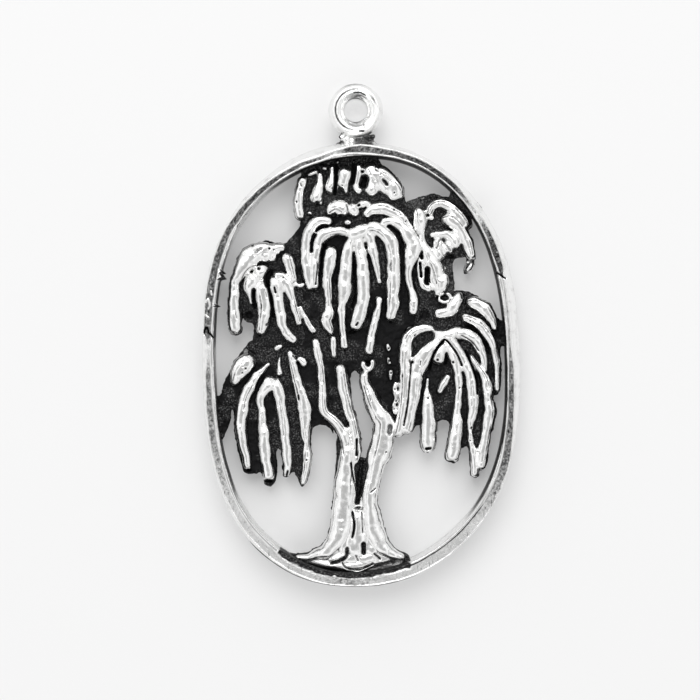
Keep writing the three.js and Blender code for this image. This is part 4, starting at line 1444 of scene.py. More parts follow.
def crown_falls() -> Foliage:
    """The long falls of the crown, which part at its point and hang down to the boughs."""
    return Foliage("crown_falls_fronds", ["crown_left", "crown_right", "crown_stems"],
        black=1.0, seed=13, sheet_height=1.43, voxel=0.071, sheet=[
        (-4.6, 9.3), (-4.9, 8.6), (-5.5, 7.8), (-5.95, 7.1), (-5.5, 5.2), (-4.8, 4.2), (-4.75, 1.4),
        (-4.75, 0.0), (-3.8, -1.2), (-3.6, -3.2), (-3.5, -6.2), (-2.6, -7.3), (-0.8, -8.6), (-0.75, -5.5),
        (-0.9, -3.5), (-0.55, -2.9), (-0.1, -3.2), (0.3, -3.8), (0.7, -5.1), (1.2, -6.2), (1.9, -7.0),
        (2.8, -7.1), (3.2, -4.0), (3.3, -1.2), (3.6, 0.4), (4.6, 1.1), (4.8, 4.5), (4.5, 7.6), (3.0, 9.2),
        (0.0, 9.3), (-2.2, 9.4),
    ], ridges=[
        Ridge([(-2.25, 8.95), (-3.1, 9.05), (-3.85, 8.75), (-4.25, 7.95), (-4.4, 6.65), (-4.35, 5.35),
            (-4.2, 4.25), (-4.0, 3.45)], (0.4, 0.64, 0.68, 0.66, 0.68, 0.66, 0.58, 0.42)),
        Ridge([(-0.7, 7.95), (-1.75, 8.2), (-2.65, 8.1), (-3.25, 7.65), (-3.45, 6.9), (-3.65, 5.75),
            (-3.75, 4.7), (-3.75, 3.45)], (0.4, 0.6, 0.72, 0.74, 0.72, 0.7, 0.64, 0.52), lift=0.05,
            seam=0.75, pit=0.16),
        Ridge([(-2.3, 7.05), (-2.45, 6.25), (-2.6, 5.3), (-2.75, 4.25), (-2.65, 3.1), (-2.55, 2.25),
            (-2.55, 1.7), (-2.75, 1.1), (-2.5, 0.4), (-2.4, -0.1)], (0.5, 0.82, 0.78, 0.7, 0.64, 0.54, 0.46,
            0.78, 0.54, 0.3), seam=0.7),
        Ridge([(-2.7, 1.3), (-3.0, 1.15), (-3.3, 1.3)], (0.5, 0.4, 0.2), lift=-0.02),
        Ridge([(-0.45, 7.75), (-0.9, 7.2), (-1.1, 6.25), (-1.25, 4.7), (-1.35, 3.45), (-1.5, 2.3),
            (-1.5, 0.9), (-1.4, -0.25), (-1.35, -1.3)], (0.5, 0.74, 0.78, 0.86, 0.84, 0.56, 0.42, 0.42, 0.5),
            pit=0.13),
        Ridge([(-0.25, 7.75), (-0.1, 6.95), (0.05, 5.75), (0.2, 4.55), (0.25, 3.3), (0.1, 2.3), (-0.2, 1.3),
            (-0.65, 0.25)], (0.5, 0.72, 0.78, 0.84, 0.86, 0.86, 0.84, 0.72), lift=0.06, pit=0.18),
        Ridge([(0.25, 8.2), (0.7, 7.7), (0.95, 6.85), (1.2, 5.7), (1.35, 4.7), (1.45, 3.95)],
            (0.6, 0.64, 0.62, 0.5, 0.4, 0.3)),
        Ridge([(0.9, 6.95), (1.25, 6.85)], (0.3, 0.2)),
        Ridge([(0.1, 8.35), (1.1, 8.45), (1.85, 8.05), (2.4, 7.2), (2.6, 5.9), (2.6, 4.4), (2.55, 2.8),
            (2.35, 0.95)], (0.5, 0.84, 0.88, 0.88, 0.86, 0.86, 0.84, 0.68), lift=0.05, seam=-0.6, pit=0.18),
        Ridge([(1.5, 8.95), (2.5, 9.0), (3.3, 8.55), (3.95, 7.7), (4.2, 6.95), (3.9, 5.85), (3.8, 4.9),
            (3.9, 4.0), (4.2, 2.9), (4.1, 1.45)], (0.45, 0.6, 0.7, 0.95, 1.05, 0.55, 0.42, 0.46, 0.62,
            0.48)),
        Ridge([(-1.35, 7.95), (-0.55, 8.0), (0.1, 8.25), (0.75, 8.45)], (0.6, 0.85, 0.95, 0.7), lift=0.02),
        Ridge([(1.5, 3.1), (1.4, 2.3), (1.15, 1.2), (0.9, 0.1), (0.7, -0.95), (0.6, -1.7)],
            (0.36, 0.4, 0.52, 0.56, 0.6, 0.63)),
        Ridge([(0.8, -1.9), (0.95, -2.45), (0.6, -2.85), (0.2, -2.55), (0.25, -2.05)],
            (0.4, 0.38, 0.4, 0.38, 0.34)),
        Ridge([(1.95, 0.6), (2.15, 0.1), (2.6, 0.25)], (0.22, 0.26, 0.2), lift=-0.55),
        Ridge([(-2.25, -0.1), (-2.2, -0.9), (-2.15, -1.95)], (0.31, 0.38, 0.34)),
        Ridge([(-4.9, 2.3), (-4.55, 1.5), (-4.05, 0.7), (-3.65, 0.05)], (0.2, 0.34, 0.34, 0.28), lift=-0.02),
        Ridge([(2.1, -0.75), (2.2, -1.2), (2.25, -1.5)], (0.2, 0.26, 0.2), lift=-0.1),
        Ridge([(2.2, -1.8), (2.2, -2.1), (2.3, -2.5)], (0.26, 0.2, 0.3), lift=-0.1),
        Ridge([(2.35, -2.75), (2.4, -3.8)], (0.3, 0.2), lift=-0.08),
    ], grooves=[
        Groove([(0.55, -2.35)], 0.3, 0.8),
        Groove([(-2.95, 7.1), (-3.1, 6.4), (-3.17, 5.5), (-3.25, 4.8)], 0.26, 0.8),
        Groove([(-3.65, 7.9), (-3.9, 7.35), (-3.95, 6.6)], 0.2, 0.5),
        Groove([(-0.65, 6.25), (-0.65, 5.7)], 0.09, 0.25, 0.8),
        Groove([(-0.25, 0.9), (-0.4, 0.7)], 0.14, 0.3, 0.9),
        Groove([(2.15, 7.1), (2.4, 6.1), (2.45, 4.9)], 0.07, 0.08, 0.6),
        Groove([(-3.3, 0.65), (-2.95, -0.1)], 0.07, 0.1, 0.7),
        Groove([(-0.6, 6.45), (-0.5, 5.35), (-0.45, 4.15), (-0.45, 3.1), (-0.7, 2.15)], 0.16, 0.9),
        Groove([(-3.5, 5.75), (-3.55, 4.7), (-3.65, 3.9)], 0.08, 0.2, 0.8),
        Groove([(2.2, -1.15)], 0.14, 0.35), Groove([(2.25, -2.15)], 0.12, 0.35),
        Groove([(2.4, -3.1)], 0.13, 0.35), Groove([(-0.9, 0.1), (-0.55, 0.2)], 0.18, 0.45, 0.9),
    ])


def upper_left_mass() -> Foliage:
    """The upper left mass, which spills over its small cap."""
    return Foliage("upper_left_fronds", ["upper_left_mass"],
        black=0.95, seed=14, sheet=[
        (-5.7, 7.3), (-6.6, 7.2), (-7.5, 7.45), (-8.9, 6.9), (-9.8, 5.3), (-10.3, 3.4), (-9.75, 2.1),
        (-9.55, 2.1), (-9.3, 1.1), (-8.9, 0.9), (-8.55, 0.7), (-8.5, -0.8), (-6.5, -1.0), (-4.6, -0.8),
        (-4.6, 1.0), (-4.65, 4.2), (-5.1, 5.4), (-5.5, 6.8),
    ], ridges=[
        Ridge([(-5.95, 6.9), (-6.55, 6.9), (-7.25, 6.8), (-7.8, 6.7), (-8.4, 6.5), (-8.95, 6.0),
            (-9.45, 5.35), (-9.9, 4.6), (-10.1, 4.0), (-10.15, 3.35), (-10.2, 2.45), (-10.1, 1.2),
            (-9.95, -0.1)], (0.45, 0.55, 0.85, 1.15, 1.25, 1.05, 0.76, 0.64, 0.66, 0.74, 0.84, 0.88, 0.68),
            pit=0.13),
        Ridge([(-7.0, 6.45), (-7.7, 6.2), (-8.25, 6.0)], (0.65, 0.8, 0.6)),
        Ridge([(-6.8, 6.75), (-6.7, 6.25)], (0.6, 0.55)),
        Ridge([(-5.8, 6.55), (-5.85, 6.05), (-5.65, 5.3), (-5.45, 4.6), (-5.25, 4.05)],
            (0.55, 0.72, 0.66, 0.52, 0.38), seam=0.5),
        Ridge([(-5.35, 4.1), (-5.05, 3.85), (-4.7, 3.85), (-4.5, 4.1)], (0.29, 0.31, 0.31, 0.2), lift=-0.1),
        Ridge([(-8.55, 4.5), (-8.15, 4.8), (-7.7, 5.0), (-7.25, 4.95)], (0.8, 0.9, 0.8, 0.5), lift=-0.06),
        Ridge([(-8.0, 4.5), (-8.6, 4.2), (-8.9, 3.7), (-8.8, 3.0), (-8.7, 2.3)],
            (1.0, 0.98, 0.78, 0.44, 0.22)),
        Ridge([(-8.15, 4.3), (-7.9, 3.75), (-7.8, 3.0), (-7.7, 2.2), (-7.8, 1.3), (-7.9, 0.5),
            (-8.05, -0.15)], (1.03, 1.14, 1.0, 0.87, 0.82, 0.75, 0.57), lift=0.02, seam=-0.5, pit=0.14),
        Ridge([(-7.05, 4.75), (-6.55, 4.7), (-5.75, 4.4)], (0.35, 0.5, 0.45), lift=-0.06),
        Ridge([(-6.95, 4.7), (-6.9, 4.15), (-6.7, 3.35), (-6.55, 2.45), (-6.4, 1.5), (-6.25, 0.6),
            (-5.75, -0.15), (-5.05, -0.6)], (0.63, 0.93, 0.75, 0.71, 0.71, 0.62, 0.6, 0.5), lift=0.03),
        Ridge([(-6.5, 4.6), (-6.1, 4.25), (-5.75, 3.7), (-5.5, 2.9), (-5.3, 2.0), (-5.05, 1.2),
            (-4.95, 0.6)], (0.51, 0.71, 0.62, 0.52, 0.52, 0.48, 0.39), seam=0.5),
        Ridge([(-4.9, 2.3), (-4.65, 1.65), (-4.2, 0.85), (-3.75, 0.05)], (0.16, 0.31, 0.36, 0.26),
            lift=-0.05),
        Ridge([(-8.15, 6.05), (-7.45, 6.15), (-6.7, 6.1)], (0.5, 0.6, 0.45), lift=-0.06),
    ], grooves=[
        Groove([(-8.0, 6.8), (-8.4, 6.55)], 0.2, 0.2, 0.45), Groove([(-7.3, 6.8)], 0.15, 0.35),
        Groove([(-6.95, 6.7)], 0.11, 0.25), Groove([(-6.9, 3.7), (-6.8, 3.3)], 0.13, 0.3),
        Groove([(-6.2, 4.5)], 0.13, 0.3), Groove([(-7.6, 3.35), (-7.5, 2.9)], 0.07, 0.1, 0.6),
        Groove([(-7.55, 0.7), (-7.35, 0.8)], 0.14, 0.15, 0.6), Groove([(-8.95, 1.5)], 0.5, 0.35),
        Groove([(-8.65, 7.1)], 0.1, 0.2), Groove([(-10.0, 1.7), (-9.9, 1.2)], 0.06, 0.08, 0.6),
        Groove([(-7.25, 4.95), (-7.5, 4.5), (-7.45, 3.9)], 0.34, 0.9),
        Groove([(-7.45, 3.9), (-7.15, 2.65), (-7.0, 1.45)], 0.2, 0.8),
        Groove([(-8.55, 3.45), (-8.6, 2.9), (-8.45, 2.2)], 0.26, 0.8), Groove([(-8.15, 5.2)], 0.22, 0.5),
        Groove([(-8.4, 5.5), (-9.05, 5.15), (-9.5, 4.45)], 0.09, 0.06, 0.6),
        Groove([(-8.65, 7.05)], 0.12, 0.25), Groove([(-7.3, 7.25)], 0.12, 0.3),
        Groove([(-8.25, 6.65), (-8.45, 6.3)], 0.16, 0.12, 0.45),
    ])


def lower_left_mass() -> Foliage:
    """The lower left mass: five long fronds from one hub."""
    return Foliage("lower_left_fronds", ["lower_left_mass"],
        black=0.99, seed=15, sheet_height=1.47, sheet=[
        (-8.5, -0.5), (-9.2, -1.0), (-10.0, -2.2), (-10.5, -3.0), (-11.0, -3.9), (-11.3, -4.9),
        (-12.1, -5.2), (-12.0, -8.3), (-11.3, -8.6), (-10.9, -8.0), (-10.55, -7.2), (-10.4, -6.1),
        (-10.2, -6.3), (-10.1, -8.0), (-9.75, -9.5), (-9.35, -11.0), (-8.6, -11.15), (-7.9, -11.1),
        (-7.7, -12.0), (-7.2, -12.2), (-6.85, -11.6), (-6.75, -10.4), (-6.8, -9.5), (-6.6, -9.15),
        (-6.35, -9.5), (-6.25, -10.8), (-5.9, -11.4), (-5.45, -11.0), (-5.0, -11.75), (-4.65, -12.2),
        (-4.1, -11.0), (-3.98, -7.9), (-3.7, -7.4), (-3.2, -7.25), (-2.6, -7.45), (-2.2, -8.0), (-2.4, -6.8),
        (-3.2, -5.8), (-3.3, -3.0), (-3.4, -1.2), (-3.8, 0.2), (-4.6, 0.3), (-5.2, -0.5),
    ], ridges=[
        Ridge([(-8.5, -1.75), (-9.1, -2.25), (-9.75, -3.0), (-10.3, -4.15)], (0.85, 1.15, 0.88, 0.3),
            seam=-0.4),
        Ridge([(-9.45, -1.55), (-9.2, -1.25), (-8.9, -1.45)], (0.2, 0.25, 0.2), lift=-0.3),
        Ridge([(-8.85, -1.45), (-8.65, -1.1), (-8.4, -1.55)], (0.2, 0.25, 0.2), lift=-0.3),
        Ridge([(-7.25, -2.3), (-7.75, -2.75), (-8.3, -3.3)], (0.2, 0.31, 0.44)),
        Ridge([(-8.1, -3.0), (-8.9, -4.2), (-9.3, -5.15), (-9.5, -6.2), (-9.6, -7.4), (-9.45, -8.6),
            (-9.2, -9.7), (-9.0, -10.85)], (0.4, 0.66, 0.73, 0.77, 0.73, 0.68, 0.57, 0.46), pit=0.1),
        Ridge([(-6.85, -3.55), (-7.45, -4.1), (-7.85, -4.7), (-8.05, -5.3), (-7.95, -5.95), (-7.9, -6.75),
            (-7.8, -7.8), (-7.65, -9.15), (-7.5, -10.5), (-7.35, -11.8)], (0.9, 0.8, 0.56, 0.46, 0.6, 0.76,
            0.76, 0.7, 0.66, 0.7), pit=0.15),
        Ridge([(-7.0, -3.55), (-6.65, -4.25), (-6.45, -5.15), (-6.3, -6.2), (-6.15, -7.3), (-6.05, -8.35),
            (-5.9, -9.55), (-5.85, -10.75), (-5.95, -11.45)], (0.8, 0.76, 0.68, 0.66, 0.64, 0.64, 0.64, 0.56,
            0.4)),
        Ridge([(-6.5, -1.75), (-6.55, -2.55), (-6.45, -3.4)], (0.18, 0.22, 0.4)),
        Ridge([(-5.75, -1.2), (-5.5, -2.2), (-5.2, -3.4), (-4.85, -4.6), (-4.55, -5.8), (-4.45, -6.9),
            (-4.45, -7.95), (-4.35, -8.75), (-4.3, -9.25), (-4.3, -9.75), (-4.35, -10.6), (-4.55, -11.55),
            (-4.65, -12.1)], (0.35, 0.46, 0.53, 0.64, 0.77, 0.84, 0.81, 0.55, 0.33, 0.51, 0.53, 0.42, 0.29),
            seam=-0.6, pit=0.09),
        Ridge([(-5.1, -1.8), (-4.7, -2.1), (-4.55, -2.35), (-4.7, -2.65)], (0.32, 0.4, 0.42, 0.3)),
        Ridge([(-7.0, -1.2), (-6.6, -1.05), (-6.2, -0.9)], (0.28, 0.35, 0.22), lift=-0.05),
        Ridge([(-6.55, -1.7), (-6.45, -1.65)], (0.18, 0.18), lift=-0.1),
    ], grooves=[
        Groove([(-9.2, -2.75)], 0.15, 0.35), Groove([(-9.45, -3.1)], 0.11, 0.25),
        Groove([(-9.4, -2.6)], 0.09, 0.2),
        Groove([(-8.65, -4.1), (-9.15, -5.1), (-9.35, -6.05)], 0.08, 0.1, 0.65),
        Groove([(-6.45, -5.4), (-6.25, -7.0), (-6.15, -8.1)], 0.07, 0.08, 0.55),
        Groove([(-5.85, -10.95), (-5.95, -11.35)], 0.14, 0.4),
        Groove([(-5.0, -4.9), (-4.95, -5.25)], 0.12, 0.3), Groove([(-4.35, -10.05)], 0.12, 0.3),
        Groove([(-5.4, -1.75)], 0.11, 0.25), Groove([(-5.05, -2.3)], 0.2, 0.45),
        Groove([(-7.95, -6.35), (-7.75, -7.15)], 0.06, 0.08, 0.5),
        Groove([(-7.55, -11.7), (-7.25, -11.75)], 0.24, 0.5, 0.95),
        Groove([(-9.1, -10.9), (-8.9, -10.9)], 0.14, 0.4, 0.9),
    ])


def upper_right_mass() -> Foliage:
    """The upper right mass: two hooked fronds and a forked fall."""
    return Foliage("upper_right_fronds", ["upper_right_mass"],
        black=0.86, seed=16, sheet=[
        (4.2, 7.2), (4.3, 9.6), (3.45, 10.3), (4.2, 10.75), (5.2, 11.1), (6.2, 11.0), (7.1, 11.0),
        (7.4, 12.0), (9.6, 10.2), (9.0, 9.4), (8.5, 8.3), (8.4, 6.3), (7.4, 5.9), (7.35, 3.3), (6.0, 3.0),
        (4.5, 3.2),
    ], ridges=[
        Ridge([(5.4, 9.5), (5.55, 10.05), (6.0, 10.35), (6.65, 10.35), (7.3, 9.95), (7.85, 9.35), (8.3, 8.8),
            (8.6, 8.35)], (0.45, 0.56, 0.64, 0.7, 0.77, 0.84, 0.78, 0.56), seam=0.5),
        Ridge([(5.4, 9.5), (5.6, 9.3), (5.9, 9.45)], (0.39, 0.33, 0.31)),
        Ridge([(8.3, 9.5), (8.65, 9.0), (8.75, 8.45)], (0.27, 0.41, 0.34), lift=-0.12),
        Ridge([(4.65, 10.75), (5.2, 10.95), (5.8, 11.05), (6.45, 10.9)], (0.13, 0.18, 0.18, 0.13),
            lift=-0.3),
        Ridge([(6.4, 9.0), (7.05, 9.15), (7.7, 8.7), (8.15, 8.0), (8.5, 7.25), (8.7, 6.5), (8.8, 5.85)],
            (0.77, 0.98, 0.84, 0.76, 0.7, 0.68, 0.51), lift=0.04, seam=0.5),
        Ridge([(8.4, 5.5), (8.65, 5.3), (8.95, 5.1)], (0.75, 0.85, 0.7)),
        Ridge([(5.4, 7.85), (6.1, 7.95), (6.9, 7.9), (7.4, 7.65), (7.5, 7.2), (7.25, 6.85)],
            (0.33, 0.48, 0.55, 0.68, 0.68, 0.39)),
        Ridge([(6.15, 7.8), (6.1, 7.1), (6.15, 6.45), (6.45, 5.8)], (0.61, 0.66, 0.66, 0.68), lift=-0.06),
        Ridge([(7.2, 7.05), (6.75, 6.65), (6.6, 6.2)], (0.39, 0.35, 0.31), lift=-0.06),
        Ridge([(4.45, 10.3), (4.6, 9.8), (4.7, 9.25), (4.75, 8.3), (4.95, 7.5), (5.15, 6.85), (5.5, 6.05),
            (5.9, 5.3), (6.15, 4.45), (6.25, 3.6)], (0.59, 0.86, 0.89, 0.42, 0.48, 0.77, 0.94, 1.04, 1.1,
            0.77), seam=-0.4),
        Ridge([(4.75, 8.2), (4.3, 8.1)], (0.4, 0.29)),
        Ridge([(4.95, 6.2), (4.7, 5.5), (4.7, 4.6), (5.1, 3.8), (5.75, 3.5)], (0.55, 0.4, 0.37, 0.46, 0.55)),
        Ridge([(6.85, 4.95), (6.55, 4.3), (6.25, 3.65), (6.0, 2.9)], (0.44, 0.88, 0.77, 0.22)),
        Ridge([(5.85, 5.4), (6.45, 5.25), (6.85, 5.1)], (0.33, 0.4, 0.33), lift=-0.25),
        Ridge([(8.75, 6.1), (8.7, 5.65), (8.65, 5.35)], (0.46, 0.4, 0.4), lift=-0.38),
        Ridge([(6.6, 7.5), (6.9, 6.9), (6.7, 6.25)], (0.7, 0.8, 0.6), lift=-0.12),
        Ridge([(5.0, 6.1), (5.0, 5.25), (5.05, 4.3), (5.4, 3.5)], (0.4, 0.42, 0.42, 0.5), lift=-0.04),
        Ridge([(6.7, 3.3), (7.1, 3.1), (7.1, 2.7), (6.7, 2.55), (6.3, 2.65), (6.25, 3.05), (6.65, 3.3)],
            (0.2, 0.24, 0.24, 0.24, 0.24, 0.24, 0.2), lift=-0.08),
    ], grooves=[
        Groove([(6.0, 6.85)], 0.1, 0.25), Groove([(5.75, 9.9), (5.55, 9.55)], 0.06, 0.1, 0.7),
        Groove([(5.3, 5.15), (5.25, 4.1)], 0.3, 0.9), Groove([(4.7, 5.65), (4.8, 4.6)], 0.16, 0.7),
        Groove([(4.8, 6.55), (4.85, 6.05)], 0.18, 0.6), Groove([(6.7, 2.9)], 0.32, 0.6),
        Groove([(6.1, 3.0), (6.0, 2.6)], 0.14, 0.4),
        Groove([(6.1, 6.95), (6.25, 7.45), (6.5, 7.55), (6.75, 7.15), (7.15, 6.65)], 0.13, 0.18, 0.55),
        Groove([(6.95, 6.35), (7.25, 6.15)], 0.26, 0.4, 0.7),
        Groove([(8.5, 5.45), (8.85, 5.15)], 0.7, 0.0, -0.9),
    ])


def lower_right_mass() -> Foliage:
    """The lower right mass: long fronds that fall both ways from one hub."""
    return Foliage("lower_right_fronds", ["lower_right_outer", "lower_right_inner"],
        black=0.97, seed=17, sheet_height=1.45, voxel=0.065, sheet=[
        (4.4, 3.3), (7.3, 3.45), (7.8, 3.5), (8.6, 3.35), (9.4, 3.0), (10.0, 2.4), (10.5, 1.7), (11.2, 1.1),
        (12.1, 1.0), (12.2, -0.9), (11.2, -1.1), (11.15, -3.0), (11.0, -4.8), (10.5, -5.0), (10.5, -7.0),
        (10.35, -8.4), (9.7, -10.6), (9.1, -11.1), (8.7, -9.4), (8.3, -9.0), (7.4, -9.6), (7.0, -8.6),
        (7.1, -7.1), (6.4, -6.9), (5.75, -7.3), (5.3, -7.6), (4.9, -7.3), (4.4, -7.3), (3.8, -7.7),
        (3.2, -7.9), (2.7, -7.7), (2.45, -6.0), (2.55, -4.0), (3.2, -1.0), (3.6, 0.2), (4.3, 0.9),
        (4.3, 2.6),
    ], ridges=[
        Ridge([(5.75, 1.7), (6.55, 1.65), (7.1, 1.85), (7.45, 2.4), (7.8, 2.9), (8.2, 3.1)],
            (0.42, 0.6, 0.72, 0.84, 0.74, 0.5)),
        Ridge([(8.3, 2.45), (9.1, 2.45), (9.8, 2.1), (10.3, 1.5), (10.6, 0.8), (10.8, 0.25)],
            (0.6, 0.84, 0.86, 0.74, 0.52, 0.3), seam=0.5),
        Ridge([(7.95, 1.35), (8.8, 1.15), (9.5, 0.7), (10.1, -0.05), (10.55, -0.9), (10.8, -1.85),
            (10.9, -2.95), (10.9, -4.1), (10.85, -4.65)], (0.45, 0.62, 0.66, 0.62, 0.56, 0.5, 0.46, 0.4,
            0.3), lift=0.03, seam=0.5),
        Ridge([(7.45, 0.05), (8.3, 0.0), (8.95, -0.35), (9.45, -1.0), (9.75, -1.7), (9.9, -2.5),
            (9.95, -3.1)], (0.65, 0.72, 0.72, 0.64, 0.52, 0.42, 0.28)),
        Ridge([(8.65, -1.55), (9.1, -2.3), (9.6, -3.0), (9.95, -3.75), (10.15, -4.9), (10.3, -6.0),
            (10.1, -7.3), (9.9, -8.55), (9.7, -9.85), (9.45, -10.9)], (0.2, 0.32, 0.48, 0.62, 0.7, 0.78,
            0.74, 0.66, 0.66, 0.68), lift=0.02, seam=0.55),
        Ridge([(10.5, -5.85), (10.65, -6.35)], (0.2, 0.16), lift=-0.1),
        Ridge([(6.7, -0.3), (7.35, -0.8), (7.95, -1.6), (8.4, -2.5), (8.7, -3.3), (8.9, -4.4), (8.95, -5.7),
            (8.8, -6.95), (8.7, -7.9), (8.85, -8.9), (9.0, -10.0), (9.1, -10.95), (9.15, -11.5)], (0.64, 0.7,
            0.68, 0.66, 0.64, 0.76, 0.74, 0.57, 0.38, 0.36, 0.45, 0.53, 0.53)),
        Ridge([(6.8, -0.6), (7.35, -1.5), (7.6, -2.5), (7.8, -3.6), (7.8, -5.05), (7.65, -6.3), (7.65, -7.3),
            (7.45, -8.55), (7.3, -9.7), (7.15, -10.3)], (0.53, 0.78, 0.59, 0.53, 0.49, 0.49, 0.7, 0.85, 0.85,
            0.78), pit=0.16),
        Ridge([(6.7, -0.65), (6.25, -1.35), (6.05, -2.1), (5.95, -2.5)], (0.53, 0.78, 0.83, 0.53)),
        Ridge([(7.05, -3.2), (6.6, -4.0), (6.15, -4.8)], (0.38, 0.44, 0.34), lift=-0.03),
        Ridge([(5.35, -3.5), (5.3, -4.1), (5.25, -4.55), (5.35, -5.5), (5.4, -6.65), (5.4, -7.9),
            (5.3, -9.55)], (0.15, 0.2, 0.62, 0.84, 0.96, 0.92, 0.66), pit=0.15),
        Ridge([(5.9, 0.35), (5.1, 0.45), (4.3, 0.25), (3.8, -0.25), (3.55, -1.2), (3.5, -2.5), (3.45, -4.1),
            (3.35, -5.5), (3.2, -6.8), (3.0, -7.75), (2.8, -8.3)], (0.34, 0.54, 0.66, 0.76, 0.76, 0.66, 0.6,
            0.6, 0.64, 0.7, 0.7), lift=0.02, seam=-0.5),
        Ridge([(6.5, -0.4), (5.9, -0.9), (5.3, -1.5), (4.65, -2.4), (4.25, -3.45), (4.15, -4.55),
            (4.0, -5.85), (3.8, -6.95), (3.5, -8.05)], (0.6, 0.85, 1.05, 1.12, 0.98, 0.86, 0.8, 0.74, 0.8),
            seam=0.5),
        Ridge([(2.8, -3.75), (2.7, -4.4), (2.8, -5.05), (2.65, -5.7), (2.7, -6.5)],
            (0.15, 0.27, 0.2, 0.28, 0.17), lift=-0.06),
        Ridge([(5.75, 0.1), (6.7, -0.2), (7.5, 0.1), (8.25, 0.35)], (0.48, 0.85, 0.76, 0.53), lift=-0.05),
    ], grooves=[
        Groove([(5.1, 1.4), (5.1, 1.7)], 0.55, 0.9), Groove([(6.1, -2.05)], 0.17, 0.4),
        Groove([(7.35, -2.25)], 0.17, 0.4), Groove([(7.85, -4.3)], 0.13, 0.3),
        Groove([(5.35, -5.1)], 0.13, 0.3), Groove([(4.1, -2.25)], 0.18, 0.45),
        Groove([(4.3, -0.1)], 0.12, 0.3), Groove([(4.7, -2.5), (4.75, -2.15)], 0.09, 0.2),
        Groove([(4.0, -2.35), (3.85, -4.1), (3.7, -5.7), (3.4, -7.3)], 0.11, 0.3, 0.85),
        Groove([(8.0, -0.1), (8.8, -0.6), (9.4, -1.35)], 0.09, 0.15, 0.7), Groove([(8.8, -7.5)], 0.16, 0.35),
        Groove([(8.7, -8.5)], 0.13, 0.35), Groove([(8.2, 3.1)], 0.12, 0.3), Groove([(7.95, 2.65)], 0.1, 0.3),
        Groove([(8.7, 1.05)], 0.1, 0.3), Groove([(8.8, -4.1), (8.85, -5.7)], 0.06, 0.08, 0.5),
        Groove([(6.7, -0.2), (7.2, -0.25)], 0.08, 0.1, 0.5),
        Groove([(6.1, -1.15), (6.5, -0.55), (6.7, -0.45), (7.05, -0.75), (7.65, -1.6), (8.05, -2.5)], 0.12,
            0.5),
        Groove([(6.55, -0.6), (6.05, -1.15), (5.7, -1.85), (5.45, -2.8)], 0.16, 0.7),
        Groove([(6.8, -1.7), (6.75, -2.35)], 0.16, 0.7),
        Groove([(8.5, 0.6), (9.2, 0.25), (9.8, -0.45), (10.2, -1.55)], 0.15, 0.6),
        Groove([(8.35, -1.35), (8.8, -2.45), (9.2, -3.6), (9.3, -4.7)], 0.15, 0.7),
        Groove([(2.7, -4.4)], 0.12, 0.3), Groove([(2.8, -5.35)], 0.1, 0.3),
        Groove([(2.65, -6.0)], 0.11, 0.3), Groove([(5.2, -9.15), (5.5, -9.1)], 0.2, 0.5, 0.95),
        Groove([(6.95, -10.2), (7.35, -10.2)], 0.2, 0.5, 0.95),
    ])


